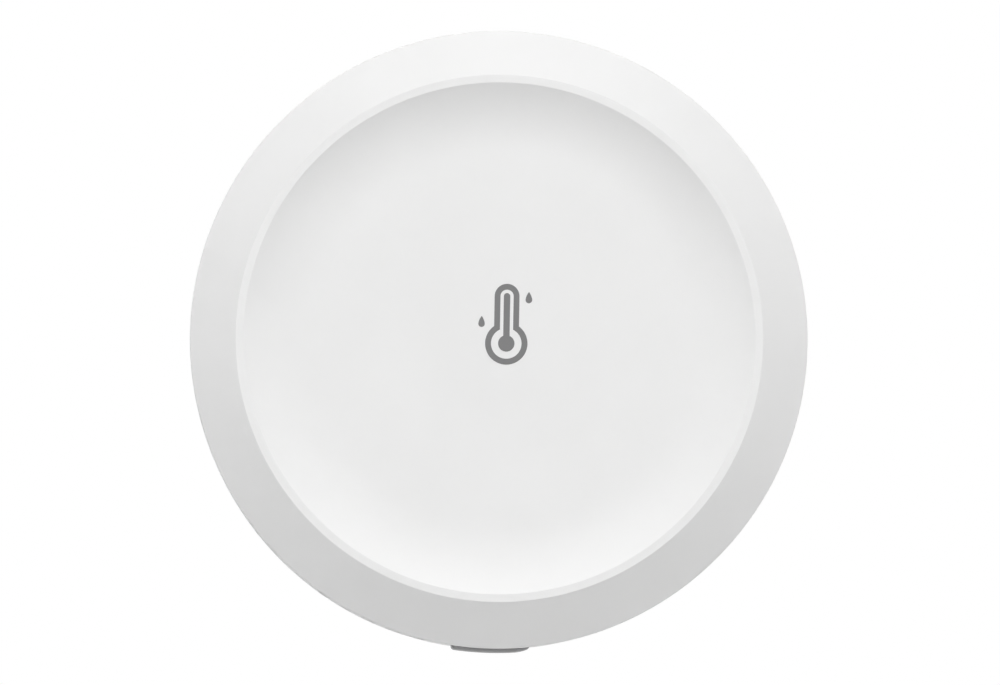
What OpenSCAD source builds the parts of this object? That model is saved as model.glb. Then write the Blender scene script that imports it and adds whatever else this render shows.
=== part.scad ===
// Round indoor temperature and humidity sensor.
// A white puck on a wall plate: the head holds the board and a coin cell, and twists off the plate.
// The pieces are drawn face up, with the wall plane at zero height, and turned upright at the end:
// the wall is then the XZ plane, the face looks along -Y, and +Z is up.

/* [Outer form] */
// Diameter over the edge of the bevel ring
body_d = 40; // [36:0.5:46]
// Radial width of the conical bevel
bevel_w = 2.93; // [2.4:0.05:3.3]
// Height of the conical bevel
bevel_h = 2; // [1.6:0.1:2.4]
// Width of the flat lip between bevel and dish
lip_w = 0.5; // [0.3:0.05:0.8]
// Width of the curved edge of the dish
dish_curve_w = 4; // [3.5:0.1:4.8]
// Slope of the dish at its rim, in degrees
dish_slope = 28; // [20:1:30]
// Height of the straight skirt below the bevel
skirt_h = 1.4; // [1:0.1:1.8]
// Step from the skirt in to the rear housing
seam_step = 0.1; // [0.05:0.05:0.2]
// How far the housing wall leans in from seam to back
wall_inset = 0.1; // [0.05:0.01:0.25]
// Rounding of the housing's back edge
back_round = 0.7; // [0.4:0.1:0.9]

/* [Walls] */
// Thickness of the dished face
face_t = 1; // [0.9:0.1:1.3]
// Radial room between the mouth for the plate and the outer wall
bay_room = 1.4; // [1.2:0.1:2.4]
// Thickness of the cover's outer wall
skirt_t = 1.5; // [1.2:0.1:1.6]
// Thickness of the housing wall at the seam
wall_t = 1.5; // [1.3:0.1:1.6]
// Thickness of the floor of the battery cup
cup_floor_t = 1; // [0.8:0.1:1.4]
// Thickness of the wall of the battery cup
cup_wall_t = 1.2; // [1.1:0.1:1.3]
// Radius of small moulded edges
edge_break = 0.25; // [0.1:0.05:0.3]

/* [Wall plate] */
// Thickness of the adhesive foam pad
pad_t = 1; // [0.8:0.1:1.5]
// Diameter of the adhesive foam pad
pad_d = 22; // [16:1:26]
// Depth of the recess that holds the pad
pad_sink = 0.4; // [0.2:0.1:0.6]
// Thickness of the plate's disc
plate_t = 1.4; // [1.2:0.1:1.8]
// Thickness of the plate's round skirt
plate_skirt_t = 1.2; // [1:0.1:1.3]
// Height of the ribs that hold the cell
rib_h = 0.4; // [0.3:0.1:0.6]
// Width of those ribs
rib_w = 0.9; // [0.7:0.1:1.2]

/* [Twist lock] */
// Number of lugs
lug_count = 3; // [3:1:3]
// Angle from locked to free
twist_angle = 20; // [16:1:24]
// Half angle of one lug
lug_half_angle = 9; // [7:1:10]
// Radial reach of a lug
lug_reach = 0.8; // [0.6:0.1:0.9]
// Thickness of a lug
lug_t = 1.1; // [0.9:0.1:1.3]
// Thickness of the ledge that the lugs hold
ledge_t = 1.3; // [1.1:0.1:1.5]
// Width of one stop block, in degrees
stop_angle = 3; // [2:1:5]

/* [Coin cell] */
// Thickness of the cell
cell_t = 5; // [4.5:0.1:5.4]
// Radial distance from the can's edge in to the cap
cap_inset = 1.45; // [1.3:0.05:2]
// Height of the cap over the edge of the can
cap_rise = 0.4; // [0.2:0.1:0.6]
// Width of the sealing ring
gasket_w = 0.6; // [0.4:0.1:0.7]
// Thickness of the contact leaves
leaf_t = 0.25; // [0.2:0.05:0.3]
// Height of the spring bend under the cell
leaf_rise = 0.3; // [0.2:0.05:0.5]

/* [Board] */
// Thickness of the main board
board_t = 1; // [0.8:0.1:1.2]
// Height of the board above the cup's floor
board_lift = 0.3; // [0.2:0.1:0.6]
// Width of the radio module
module_w = 13; // [11:0.5:13]
// Length of the radio module
module_l = 16; // [14:0.5:16]
// Thickness of the radio module's board
module_t = 0.6; // [0.5:0.1:0.8]
// Height of the radio shield
shield_h = 1.2; // [1.1:0.1:1.6]
// Thickness of the shield's sheet
shield_t = 0.15; // [0.1:0.05:0.2]
// Diameter of a board screw
screw_d = 1.5; // [1.4:0.1:1.6]
// Diameter of a board screw's head
screw_head_d = 2.8; // [2.4:0.1:3]
// Height of a board screw's head
screw_head_h = 0.9; // [0.7:0.1:1.1]
// Length of a board screw under its head
screw_l = 4; // [3:0.5:4]
// Diameter of a screw boss
boss_d = 3; // [2.8:0.1:3.2]

/* [Key] */
// Width of the pairing key
key_w = 5.14; // [4:0.1:5.6]
// Height of the pairing key across the wall
key_h = 3.2; // [2.6:0.1:3.4]
// How far the key stands out of the wall
key_proud = 0.31; // [0.2:0.01:0.4]
// Travel of the key
key_travel = 0.3; // [0.2:0.05:0.35]
// Width of the flange that keeps the key in
key_flange_w = 0.65; // [0.5:0.05:0.8]
// Thickness of that flange
key_flange_t = 0.6; // [0.5:0.1:0.7]

/* [Switch] */
// Width of the side push switch
switch_w = 4.7; // [4.2:0.1:5]
// Depth of its frame
switch_l = 2.1; // [2:0.1:2.2]
// Height of the switch
switch_h = 1.8; // [1.7:0.1:1.9]
// Thickness of its metal shell
shell_t = 0.15; // [0.1:0.01:0.2]

/* [Vents] */
// Width of one vent slot
vent_w = 0.9; // [0.6:0.1:1.1]
// Length of one vent slot
vent_l = 3.6; // [3:0.1:3.8]
// Number of slots on each side of the key
vent_side_count = 5; // [3:1:5]
// Number of slots at the top
vent_top_count = 7; // [5:1:9]
// Angle between slots
vent_pitch_angle = 5; // [4.5:0.5:5.5]

/* [Fits] */
// Running gap of the twist lock
run_gap = 0.12; // [0.08:0.01:0.15]
// Gap between pieces that are pushed together
fit_gap = 0.1; // [0.06:0.01:0.12]
// Play of the cell in its cup
cell_play = 0.2; // [0.12:0.02:0.24]
// Gap of the key in its window
key_gap = 0.15; // [0.1:0.01:0.2]
// Gap between the rim of the plate and the housing
rim_gap = 0.2; // [0.15:0.05:0.3]
// Free height over the tallest part on the board
head_room = 0.25; // [0.2:0.05:0.4]

/* [Hidden] */
$fn = 96;
// Overrun of every cutter
over = 0.5;

// Heights from the wall
z_back = pad_t - pad_sink;
z_plate = z_back + plate_t;
z_ledge = z_plate + run_gap;
z_ledge_top = z_ledge + ledge_t;
z_lug = z_ledge_top + run_gap;
z_lug_top = z_lug + lug_t;
z_cell = z_plate + rib_h + run_gap;
z_cell_top = z_cell + cell_t;
z_floor = z_cell_top + leaf_rise + leaf_t;
z_floor_top = z_floor + cup_floor_t;
z_board = z_floor_top + board_lift;
z_board_top = z_board + board_t;
z_module_top = z_board_top + module_t;
z_parts = z_module_top + shield_h;
z_face = z_parts + head_room;
z_dish = z_face + face_t;
dish_start = 2;
dish_r = dish_curve_w / (sin(dish_slope) - sin(dish_start));
dish_h = dish_r * (cos(dish_start) - cos(dish_slope));
z_lip = z_dish + dish_h;
z_ring = z_lip - bevel_h;
z_seam = z_ring - skirt_h;

// Radii
ring_r = body_d / 2;
skirt_r = ring_r - skirt_t;
lip_r = ring_r - bevel_w;
rim_r = lip_r - lip_w;
flat_r = rim_r - dish_curve_w;
wall_r = ring_r - seam_step;
back_r = wall_r - wall_inset;
bay_r = wall_r - wall_t;
tab_r = bay_r - fit_gap;
tab_t = 1;
board_gap = 0.3;
board_r = tab_r - tab_t - board_gap;
mouth_r = bay_r - bay_room;
plate_r = mouth_r - rim_gap;
plate_lap = 0.3;
notch_r = plate_r - plate_lap;
lug_r = notch_r - rim_gap;
ledge_r = lug_r - lug_reach;
plate_out_r = ledge_r - rim_gap;
plate_in_r = plate_out_r - plate_skirt_t;
plate_play = 0.45;
cup_out_r = plate_in_r - plate_play;
cup_r = cup_out_r - cup_wall_t;

// The cell takes what the walls and gaps leave of the outer diameter, 24.5 mm at the sizes above
cell_d = 2 * (cup_r - cell_play);
cell_r = cell_d / 2;

// Ring and spokes of the ribs on the plate
rib_ring_r = 0.62 * cell_r;
spoke_r = 0.2 * cell_r;
spoke_count = 6;

// Angles of the lock, seen from the front with the head locked
lug_angle = 100;
notch_spare_angle = 1.5;
stop_spare_angle = 0.6;

// Snap tabs of the cover
tab_half_angle = 11;
tab_angles = [20, 90, 160, 215, 325];
bead_h = 0.35;
bead_z = z_floor_top + 0.55 * board_t;
bead_l = 0.5 * board_t;
bead_half_angle = 0.55 * tab_half_angle;
groove_half_angle = 0.65 * tab_half_angle;

// Screws and the posts that hold the board down; the first screw stands beside the radio module
module_x = -0.05 * module_w;
boss_overlap = 0.2;
boss_place_r = cup_out_r + boss_d / 2 - boss_overlap;
boss_side_gap = 1.325;
boss_side_x = module_x + module_w / 2 + screw_head_d / 2 + boss_side_gap;
boss_angles = [acos(boss_side_x / boss_place_r), 180, 318];
bore_gap = 0.05;
boss_floor_t = 0.5;
post_d = 1.8;
post_place_r = boss_place_r + bore_gap;
post_angles = [100, 215, 345];

// Ribs on the housing that guide the edge of the board, one to a side so that it fits one way
guide_angles = [0, 126];
guide_w = 1.2;
guide_l = 0.8;
guide_r = board_r - guide_l / 2;

// Open sector at the bottom, for key, switch and sensor
bottom_angle = 270;
open_half_angle = 38;

// Switch, under the board, with its plunger towards the key
switch_gap = 0.3;
switch_back = cup_out_r + switch_gap;
switch_front = switch_back + switch_l;
switch_z = z_board - switch_h / 2;
lip_t = 1.5 * shell_t;
cavity_w = 0.55 * switch_w;
cavity_h = 0.62 * switch_h;
cavity_l = 0.72 * switch_l;
cavity_back = switch_front - cavity_l;
plunger_gap = 0.08;
plunger_flange_t = 0.24 * switch_l;
plunger_w = 0.36 * switch_w;
plunger_h = 0.38 * switch_h;
dome_t = 0.5 * shell_t;
dome_rise = 0.08 * switch_h;
dome_r = cavity_h / 2 - plunger_gap;

// Key, centred on the switch
key_r = wall_r + key_proud - wall_inset * (z_seam - switch_z) / (z_seam - z_back - back_round);
key_flange_r = bay_r - fit_gap;
key_flange_in_r = key_flange_r - key_flange_t;
key_end_l = 0.14 * key_w;
key_end_cut = 0.6 * key_proud;
stem_w = 0.36 * key_w;
stem_h = 0.36 * key_h;
press_gap = 0.03;
plunger_tip = switch_front + lip_t + 1.6 * key_travel;

// Sensor chip and status light, beside the switch under the board
sensor_angle = 246;
sensor_w = 3;
sensor_h = 1.1;
sensor_r = cup_out_r + sensor_w / 2 + switch_gap / 2;
sensor_hole_d = 1.1;
light_angle = 293;
light_w = 1.6;
light_l = 0.8;
light_h = 0.6;
slot_w = 0.7;

// Vents, in the part of the wall between ledge and cup floor
vent_z = (z_ledge_top + z_floor - vent_l) / 2;
vent_first_angle = 13.5;

// Gap that keeps round faces of joined pieces apart
skin_gap = 0.02;

// Coin cell
cap_d = cell_d - 2 * cap_inset;
cap_r = cap_d / 2;
gasket_r = cap_r + gasket_w;
z_can_top = z_cell_top - cap_rise;
z_can_seat = z_can_top - 0.2 * cell_t;

// Negative contact
leaf_w = 5;
leaf_l = 9;
finger_w = 1.5;
tail_w = 1.6;
tail_x = -cell_r / 2;

// Positive contact
side_leaf_w = 4;
side_bow = 0.3;
side_leaf_r = cell_r + side_bow;
pocket_gap = 0.1;

// Radio module, seen from the front
module_top = post_place_r * sin(post_angles[0]) - post_d / 2 - board_gap;
module_y = module_top - module_l / 2;
module_bottom = module_top - module_l;
shield_margin = 0.8;
antenna_l = 0.3 * module_l;
shield_w = module_w - 2 * shield_margin;
shield_l = module_l - antenna_l - 2 * shield_margin;
shield_y = module_y - module_l / 2 + shield_margin + shield_l / 2;
radio_chip_w = 5;
radio_chip_h = 0.8;
pad_pitch = 1.27;
pad_hole_d = 0.6;

// Small parts on the face of the board: beside the module and in rows below it
crystal_w = 3.2;
crystal_l = 1.5;
crystal_h = 0.8;
bulk_w = 3.5;
bulk_l = 2.8;
bulk_h = 1.6;
chip_w = 1.6;
chip_l = 0.8;
board_room = board_r + module_bottom;
chip_step_share = 0.0755;
chip_step = chip_step_share * board_room;
resistor_row_share = 0.48;
capacitor_h = 0.8;
resistor_h = 0.45;
side_x = module_x + module_w / 2 + bulk_w / 2 + chip_l;
row_y = module_bottom - chip_step - chip_l / 2;
resistor_y = module_bottom - resistor_row_share * board_room;
capacitor_column_shares = [-0.42, -0.1, 0.22];
resistor_column_shares = [-0.3, -0.02, 0.26, 0.54];

// Shared shapes

// Turns the face-up drawing upright, with its back to the wall plane
module upright() {
    rotate([90, 0, 0]) children();
}

// A plain disc or drum between two heights
module drum(r, z0, z1) {
    translate([0, 0, z0]) cylinder(r = r, h = z1 - z0);
}

// A ring between two radii and two heights
module ring(r0, r1, z0, z1) {
    rotate_extrude() translate([r0, z0]) square([r1 - r0, z1 - z0]);
}

// A piece of a ring, centred on an angle
module arc_ring(r0, r1, z0, z1, mid, half) {
    rotate([0, 0, mid - half])
        rotate_extrude(angle = 2 * half) translate([r0, z0]) square([r1 - r0, z1 - z0]);
}

// A block centred on X and Y, from one height to another
module block(w, l, z0, z1) {
    translate([-w / 2, -l / 2, z0]) cube([w, l, z1 - z0]);
}

// Places children at a radius and an angle, turned to look outwards along +X
module at(angle, r = 0) {
    rotate([0, 0, angle]) translate([r, 0, 0]) children();
}

// A slot with round ends, cut outwards through the wall at an angle
module wall_slot(angle, w, l, z0, r0, r1) {
    at(angle, r0) translate([0, 0, z0]) rotate([90, 0, 90]) linear_extrude(height = r1 - r0) {
        translate([-w / 2, w / 2]) square([w, l - w]);
        translate([0, w / 2]) circle(d = w);
        translate([0, l - w / 2]) circle(d = w);
    }
}

// Wall plate

module adhesive_pad() {
    color("gray") upright() drum(pad_d / 2, 0, pad_t);
}

// Disc with a pad recess, a skirt with lugs and the ribs that hold the cell
module rear_cover() {
    color("white") upright() {
        difference() {
            rotate_extrude() polygon([
                [0, z_back],
                [plate_r - edge_break, z_back],
                [plate_r, z_back + edge_break],
                [plate_r, z_plate],
                [0, z_plate]
            ]);
            drum(pad_d / 2 + fit_gap, z_back - over, z_back + pad_sink);
        }
        ring(plate_in_r, plate_out_r, z_plate - edge_break, z_lug_top + edge_break);
        for (i = [0 : lug_count - 1]) {
            arc_ring(
                plate_out_r - edge_break, lug_r, z_lug, z_lug_top,
                lug_angle + i * 360 / lug_count, lug_half_angle
            );
        }
        ring(rib_ring_r, rib_ring_r + rib_w, z_plate - edge_break, z_plate + rib_h);
        for (i = [0 : spoke_count - 1]) {
            at(i * 360 / spoke_count) translate([spoke_r, -rib_w / 2, z_plate - edge_break])
                cube([rib_ring_r + rib_w / 2 - spoke_r, rib_w, 0.75 * rib_h + edge_break]);
        }
    }
}

// Front cover

// Cutter of the dish: a flat floor that curves up to the rim, from the dish's starting slope
module dish_cutter() {
    centre_r = flat_r - dish_r * sin(dish_start);
    rotate_extrude() {
        translate([0, z_dish]) square([centre_r, dish_h + over]);
        intersection() {
            translate([centre_r, z_dish + dish_r * cos(dish_start)]) circle(r = dish_r);
            translate([0, z_dish]) square([flat_r + dish_r, dish_h + over]);
        }
    }
}

// Hollow of the cover, at a steady wall below dish, lip and bevel
module cover_hollow() {
    drop = skirt_t / cos(atan(bevel_h / bevel_w));
    shoulder_z = z_lip - face_t - edge_break;
    shoulder_r = ring_r - (shoulder_z - z_ring + drop) * bevel_w / bevel_h;
    rotate_extrude() polygon([
        [0, z_seam - over],
        [0, z_face],
        [flat_r + edge_break, z_face],
        [rim_r - dish_curve_w / 4, shoulder_z],
        [shoulder_r, shoulder_z],
        [skirt_r, z_ring - drop + (ring_r - skirt_r) * bevel_h / bevel_w],
        [skirt_r, z_seam - over]
    ]);
}

// One snap tab with its bead, hanging from the cover
module snap_tab(angle) {
    arc_ring(
        tab_r - tab_t, tab_r, z_floor_top + fit_gap, z_ring + 0.4 * bevel_h,
        angle, tab_half_angle
    );
    rotate([0, 0, angle - bead_half_angle]) rotate_extrude(angle = 2 * bead_half_angle) polygon([
        [tab_r - tab_t / 2, bead_z - bead_l],
        [tab_r, bead_z - bead_l],
        [tab_r + bead_h, bead_z],
        [tab_r, bead_z + bead_l],
        [tab_r - tab_t / 2, bead_z + bead_l]
    ]);
}

module front_cover() {
    color("white") upright() {
        difference() {
            rotate_extrude() polygon([
                [0, z_seam],
                [ring_r, z_seam],
                [ring_r, z_ring],
                [lip_r, z_lip],
                [0, z_lip]
            ]);
            dish_cutter();
            cover_hollow();
        }
        for (angle = tab_angles) {
            snap_tab(angle);
        }
        for (angle = post_angles) {
            at(angle, post_place_r) drum(post_d / 2, z_board_top, z_face + face_t / 2);
        }
    }
}

// Rear housing

// Outer wall with its draft and round back edge, the floor rim and the ledge
module housing_shell() {
    difference() {
        rotate_extrude() {
            polygon([
                [ledge_r, z_ledge],
                [mouth_r, z_ledge],
                [mouth_r, z_back],
                each [for (a = [-90 : 15 : 0]) [
                    back_r - back_round * (1 - cos(a)),
                    z_back + back_round * (1 + sin(a))
                ]],
                [wall_r, z_seam],
                [bay_r, z_seam],
                [bay_r, z_ledge_top],
                [ledge_r, z_ledge_top]
            ]);
        }
        for (i = [0 : lug_count - 1]) {
            arc_ring(
                ledge_r - over, notch_r, z_ledge - over, z_ledge_top + over,
                lug_angle - twist_angle + i * 360 / lug_count, lug_half_angle + notch_spare_angle
            );
        }
    }
}

// Blocks that end the twist on both sides of each lug
module stop_blocks() {
    locked_reach = lug_half_angle + stop_spare_angle + stop_angle / 2;
    free_reach = lug_half_angle + notch_spare_angle + stop_spare_angle + stop_angle / 2;
    for (i = [0 : lug_count - 1]) {
        turn = lug_angle + i * 360 / lug_count;
        for (mid = [turn + locked_reach, turn - twist_angle - free_reach]) {
            arc_ring(
                ledge_r + run_gap, bay_r + edge_break, z_ledge_top - edge_break, z_lug_top,
                mid, stop_angle / 2
            );
        }
    }
}

// Battery cup and the web that joins it to the outer wall
module battery_cup() {
    ring(cup_r, cup_out_r, z_ledge, z_floor_top);
    drum(cup_out_r - cup_wall_t / 2, z_floor, z_floor_top);
    difference() {
        ring(cup_out_r - cup_wall_t / 2, bay_r + edge_break, z_floor, z_floor_top);
        arc_ring(
            cup_out_r, bay_r + over, z_floor - over, z_floor_top + over,
            bottom_angle, open_half_angle
        );
    }
}

module boss(angle) {
    at(angle, boss_place_r) drum(boss_d / 2, z_board_top - screw_l - boss_floor_t - bore_gap, z_board);
}

module rear_housing() {
    color("white") upright() difference() {
        union() {
            housing_shell();
            stop_blocks();
            battery_cup();
            for (angle = boss_angles) {
                boss(angle);
            }
            for (angle = guide_angles) {
                at(angle, guide_r) block(guide_l, guide_w, z_floor_top - edge_break, z_board_top);
            }
        }
        for (angle = boss_angles) {
            at(angle, boss_place_r)
                drum(screw_d / 2 + bore_gap, z_board_top - screw_l - bore_gap, z_board + over);
        }
        for (i = [0 : vent_side_count - 1]) {
            for (side = [-1, 1]) {
                wall_slot(
                    bottom_angle + side * (vent_first_angle + i * vent_pitch_angle),
                    vent_w, vent_l, vent_z, bay_r - over, wall_r + over
                );
            }
        }
        for (i = [0 : vent_top_count - 1]) {
            wall_slot(
                bottom_angle + 180 + (i - (vent_top_count - 1) / 2) * vent_pitch_angle,
                vent_w, vent_l, vent_z, bay_r - over, wall_r + over
            );
        }
        for (angle = tab_angles) {
            rotate([0, 0, angle - groove_half_angle])
                rotate_extrude(angle = 2 * groove_half_angle) polygon([
                    [bay_r - over, bead_z - bead_l - fit_gap - over],
                    [bay_r + bead_h, bead_z],
                    [bay_r - over, bead_z + bead_l + fit_gap + over]
                ]);
        }
        at(bottom_angle, bay_r - over) translate([0, 0, switch_z - key_h / 2 - key_gap])
            translate([0, -key_w / 2 - key_gap, 0])
            cube([wall_t + 2 * over, key_w + 2 * key_gap, key_h + 2 * key_gap]);
        translate([cup_r - cup_wall_t, -side_leaf_w / 2 - pocket_gap, z_ledge - over])
            cube([
                side_leaf_r + leaf_t + pocket_gap - cup_r + cup_wall_t, side_leaf_w + 2 * pocket_gap,
                z_floor_top + 2 * over - z_ledge
            ]);
        translate([tail_x - pocket_gap, -tail_w / 2 - pocket_gap, z_floor - over])
            cube([leaf_t + 2 * pocket_gap, tail_w + 2 * pocket_gap, cup_floor_t + 2 * over]);
    }
}

// Board and what it carries

module main_board() {
    color("green") upright() difference() {
        drum(board_r, z_board, z_board_top);
        for (angle = boss_angles) {
            at(angle, boss_place_r) drum(screw_d / 2 + fit_gap, z_board - over, z_board_top + over);
        }
        for (angle = guide_angles) {
            at(angle, guide_r + over / 2) block(
                guide_l + 2 * fit_gap + over, guide_w + 2 * fit_gap, z_board - over, z_board_top + over
            );
        }
        at(sensor_angle, sensor_r) {
            for (side = [-1, 1]) {
                translate([-slot_w, side * (sensor_w / 2 + slot_w), 0])
                    block(sensor_w, slot_w, z_board - over, z_board_top + over);
            }
            translate([-sensor_w / 2 - slot_w, 0, 0])
                block(slot_w, sensor_w + 3 * slot_w, z_board - over, z_board_top + over);
        }
    }
}

// Screw with a pan head and a cross recess
module board_screw(angle) {
    at(angle, boss_place_r) difference() {
        rotate_extrude() polygon([
            [0, z_board_top - screw_l],
            [screw_d / 4, z_board_top - screw_l],
            [screw_d / 2, z_board_top - screw_l + screw_d / 2],
            [screw_d / 2, z_board_top],
            [screw_head_d / 2, z_board_top],
            [screw_head_d / 2, z_board_top + screw_head_h / 2],
            [screw_head_d / 3, z_board_top + screw_head_h],
            [0, z_board_top + screw_head_h]
        ]);
        for (turn = [0, 90]) {
            rotate([0, 0, turn]) block(
                screw_head_d / 2, screw_head_d / 8,
                z_board_top + screw_head_h / 2, z_board_top + screw_head_h + over
            );
        }
    }
}

module board_screws() {
    color("silver") upright() for (angle = boss_angles) {
        board_screw(angle);
    }
}

// Module board with half holes along both long edges
module radio_module_board() {
    holes = floor((module_l - antenna_l) / pad_pitch) - 1;
    color("darkgreen") upright() translate([module_x, module_y, 0]) difference() {
        block(module_w, module_l, z_board_top, z_module_top);
        for (side = [-1, 1]) {
            for (i = [0 : holes - 1]) {
                translate([side * module_w / 2, -module_l / 2 + (i + 1) * pad_pitch, 0])
                    drum(pad_hole_d / 2, z_board_top - over, z_module_top + over);
            }
        }
    }
}

module radio_shield() {
    color("silver") upright() translate([module_x, shield_y, 0]) difference() {
        block(shield_w, shield_l, z_module_top, z_parts);
        block(shield_w - 2 * shield_t, shield_l - 2 * shield_t, z_module_top - over, z_parts - shield_t);
    }
}

module radio_chip() {
    color("dimgray") upright() translate([module_x, shield_y, 0])
        block(radio_chip_w, radio_chip_w, z_module_top, z_module_top + radio_chip_h);
}

// A small part lying on the face of the board
module board_part(x, y, w, l, h) {
    translate([x, y, 0]) block(w, l, z_board_top, z_board_top + h);
}

module clock_crystal() {
    color("silver") upright() board_part(side_x, module_y, crystal_l, crystal_w, crystal_h);
}

module bulk_capacitor() {
    color("goldenrod") upright()
        board_part(side_x, module_bottom + bulk_l / 2, bulk_w, bulk_l, bulk_h);
}

module chip_capacitors() {
    color("tan") upright() for (row = [0, 1]) {
        for (share = capacitor_column_shares) {
            board_part(
                module_x + share * module_w, row_y - 2 * row * chip_step, chip_w, chip_l, capacitor_h
            );
        }
    }
}

module chip_resistors() {
    color("dimgray") upright() for (share = resistor_column_shares) {
        board_part(module_x + share * module_w, resistor_y, chip_w, chip_l, resistor_h);
    }
}

// Chip under the board, its port towards the vents and the wall
module sensor_chip() {
    color("dimgray") upright() at(sensor_angle, sensor_r) difference() {
        block(sensor_w, sensor_w, z_board - sensor_h, z_board);
        drum(sensor_hole_d / 2, z_board - sensor_h - over, z_board - sensor_h / 2);
    }
}

module status_light() {
    color("ivory") upright() at(light_angle, sensor_r)
        block(light_l, light_w, z_board - light_h, z_board);
}

// Side push switch, drawn with its plunger along +X

module switch_frame() {
    color("dimgray") upright() at(bottom_angle) difference() {
        translate([switch_back, -switch_w / 2, z_board - switch_h + shell_t])
            cube([switch_l, switch_w, switch_h - shell_t]);
        translate([cavity_back, -cavity_w / 2, switch_z - cavity_h / 2])
            cube([cavity_l + over, cavity_w, cavity_h]);
    }
}

module switch_shell() {
    color("silver") upright() at(bottom_angle) difference() {
        translate([switch_back, -switch_w / 2 - shell_t, z_board - switch_h])
            cube([switch_l + lip_t, switch_w + 2 * shell_t, switch_h]);
        translate([switch_back - over, -switch_w / 2, z_board - switch_h + shell_t])
            cube([switch_l + over, switch_w, switch_h + over]);
        translate([
            switch_front - over, -plunger_w / 2 - plunger_gap, switch_z - plunger_h / 2 - plunger_gap
        ])
            cube([lip_t + 2 * over, plunger_w + 2 * plunger_gap, plunger_h + 2 * plunger_gap]);
    }
}

// Dished spring disc that rests on the back of the frame's cavity
module switch_dome() {
    color("silver") upright() at(bottom_angle, cavity_back) translate([0, 0, switch_z])
        rotate([0, 90, 0]) rotate_extrude() polygon([
            [0, dome_rise],
            [dome_r / 3, dome_rise],
            [dome_r - dome_t, 0],
            [dome_r, 0],
            [dome_r, dome_t],
            [dome_r - dome_t, dome_t],
            [dome_r / 3, dome_rise + dome_t],
            [0, dome_rise + dome_t]
        ]);
}

// Plunger with a flange behind the shell's lip and a nose towards the dome
module switch_plunger() {
    flange_x = switch_front - skin_gap - plunger_flange_t;
    nose_x = cavity_back + dome_rise + dome_t + key_travel + skin_gap;
    color("dimgray") upright() at(bottom_angle) {
        translate([flange_x, -cavity_w / 2 + plunger_gap, switch_z - cavity_h / 2 + plunger_gap])
            cube([plunger_flange_t, cavity_w - 2 * plunger_gap, cavity_h - 2 * plunger_gap]);
        translate([nose_x, -plunger_w / 4, switch_z - plunger_h / 4])
            cube([flange_x + plunger_flange_t - nose_x, plunger_w / 2, plunger_h / 2]);
        translate([flange_x, -plunger_w / 2, switch_z - plunger_h / 2])
            cube([plunger_tip - flange_x, plunger_w, plunger_h]);
    }
}

// Key with a round face, a flange behind the wall and a stem to the switch

// Outline of the key's cap seen from the front, its right end run out
module key_outline() {
    run_y = key_w / 2 - key_end_l;
    run_x = sqrt(key_r * key_r - run_y * run_y);
    end_x = sqrt(key_r * key_r - key_w * key_w / 4) - key_end_cut;
    intersection() {
        circle(r = key_r);
        polygon([
            [key_flange_in_r, -key_w / 2],
            [key_r + over, -key_w / 2],
            [key_r + over, run_y - key_end_l],
            [2 * run_x - end_x, run_y - key_end_l],
            [end_x, key_w / 2],
            [key_flange_in_r, key_w / 2]
        ]);
    }
}

module pairing_key() {
    flange_w = key_w + 2 * key_flange_w;
    flange_h = key_h + 2 * key_flange_w;
    color("gray") upright() at(bottom_angle) {
        intersection() {
            translate([0, 0, switch_z - key_h / 2]) linear_extrude(height = key_h) key_outline();
            rotate_extrude() polygon([
                [key_flange_in_r, switch_z - key_h / 2],
                [key_r - edge_break, switch_z - key_h / 2],
                [key_r, switch_z - key_h / 2 + edge_break],
                [key_r, switch_z + key_h / 2 - edge_break],
                [key_r - edge_break, switch_z + key_h / 2],
                [key_flange_in_r, switch_z + key_h / 2]
            ]);
        }
        intersection() {
            ring(key_flange_in_r, key_flange_r, switch_z - flange_h / 2, switch_z + flange_h / 2);
            translate([key_r / 2, 0, 0])
                block(key_r, flange_w, switch_z - flange_h / 2 - over, switch_z + flange_h / 2 + over);
        }
        translate([plunger_tip + press_gap, -stem_w / 2, switch_z - stem_h / 2])
            cube([key_flange_in_r + key_flange_t / 2 - plunger_tip - press_gap, stem_w, stem_h]);
    }
}

// Battery contacts

// Leaf under the cup's floor with two spring fingers and a tail up to the board
module negative_contact() {
    bend_x = tail_x + 0.4 * leaf_l;
    touch_x = tail_x + 0.72 * leaf_l;
    rest_x = tail_x + 0.84 * leaf_l;
    tip_x = tail_x + leaf_l;
    color("gold") upright() {
        translate([tail_x, -leaf_w / 2, z_floor - leaf_t]) cube([bend_x - tail_x, leaf_w, leaf_t]);
        translate([tail_x, -tail_w / 2, z_floor - leaf_t])
            cube([leaf_t, tail_w, z_board - z_floor + leaf_t]);
        for (side = [-1, 1]) {
            translate([0, side * (leaf_w - finger_w) / 2 + finger_w / 2, 0]) rotate([90, 0, 0])
                linear_extrude(height = finger_w) polygon([
                    [bend_x - leaf_t, z_floor],
                    [bend_x - leaf_t, z_floor - leaf_t],
                    [bend_x, z_floor - leaf_t],
                    [touch_x, z_cell_top],
                    [rest_x, z_cell_top],
                    [tip_x, z_cell_top + leaf_rise],
                    [tip_x, z_cell_top + leaf_rise + leaf_t],
                    [rest_x, z_cell_top + leaf_t],
                    [touch_x, z_cell_top + leaf_t],
                    [bend_x, z_floor]
                ]);
        }
    }
}

// Leaf that stands in the pocket of the cup and bows in to the can
module positive_contact() {
    z0 = z_cell + 0.1 * cell_t;
    z1 = z_cell + 0.4 * cell_t;
    z2 = z_cell + 0.7 * cell_t;
    touch_r = cell_r + skin_gap;
    color("gold") upright() translate([0, side_leaf_w / 2, 0]) rotate([90, 0, 0])
        linear_extrude(height = side_leaf_w) polygon([
            [side_leaf_r, z_board],
            [side_leaf_r, z2],
            [touch_r, z1],
            [side_leaf_r, z0],
            [side_leaf_r + leaf_t, z0],
            [touch_r + leaf_t, z1],
            [side_leaf_r + leaf_t, z2],
            [side_leaf_r + leaf_t, z_board]
        ]);
}

// Coin cell

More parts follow.
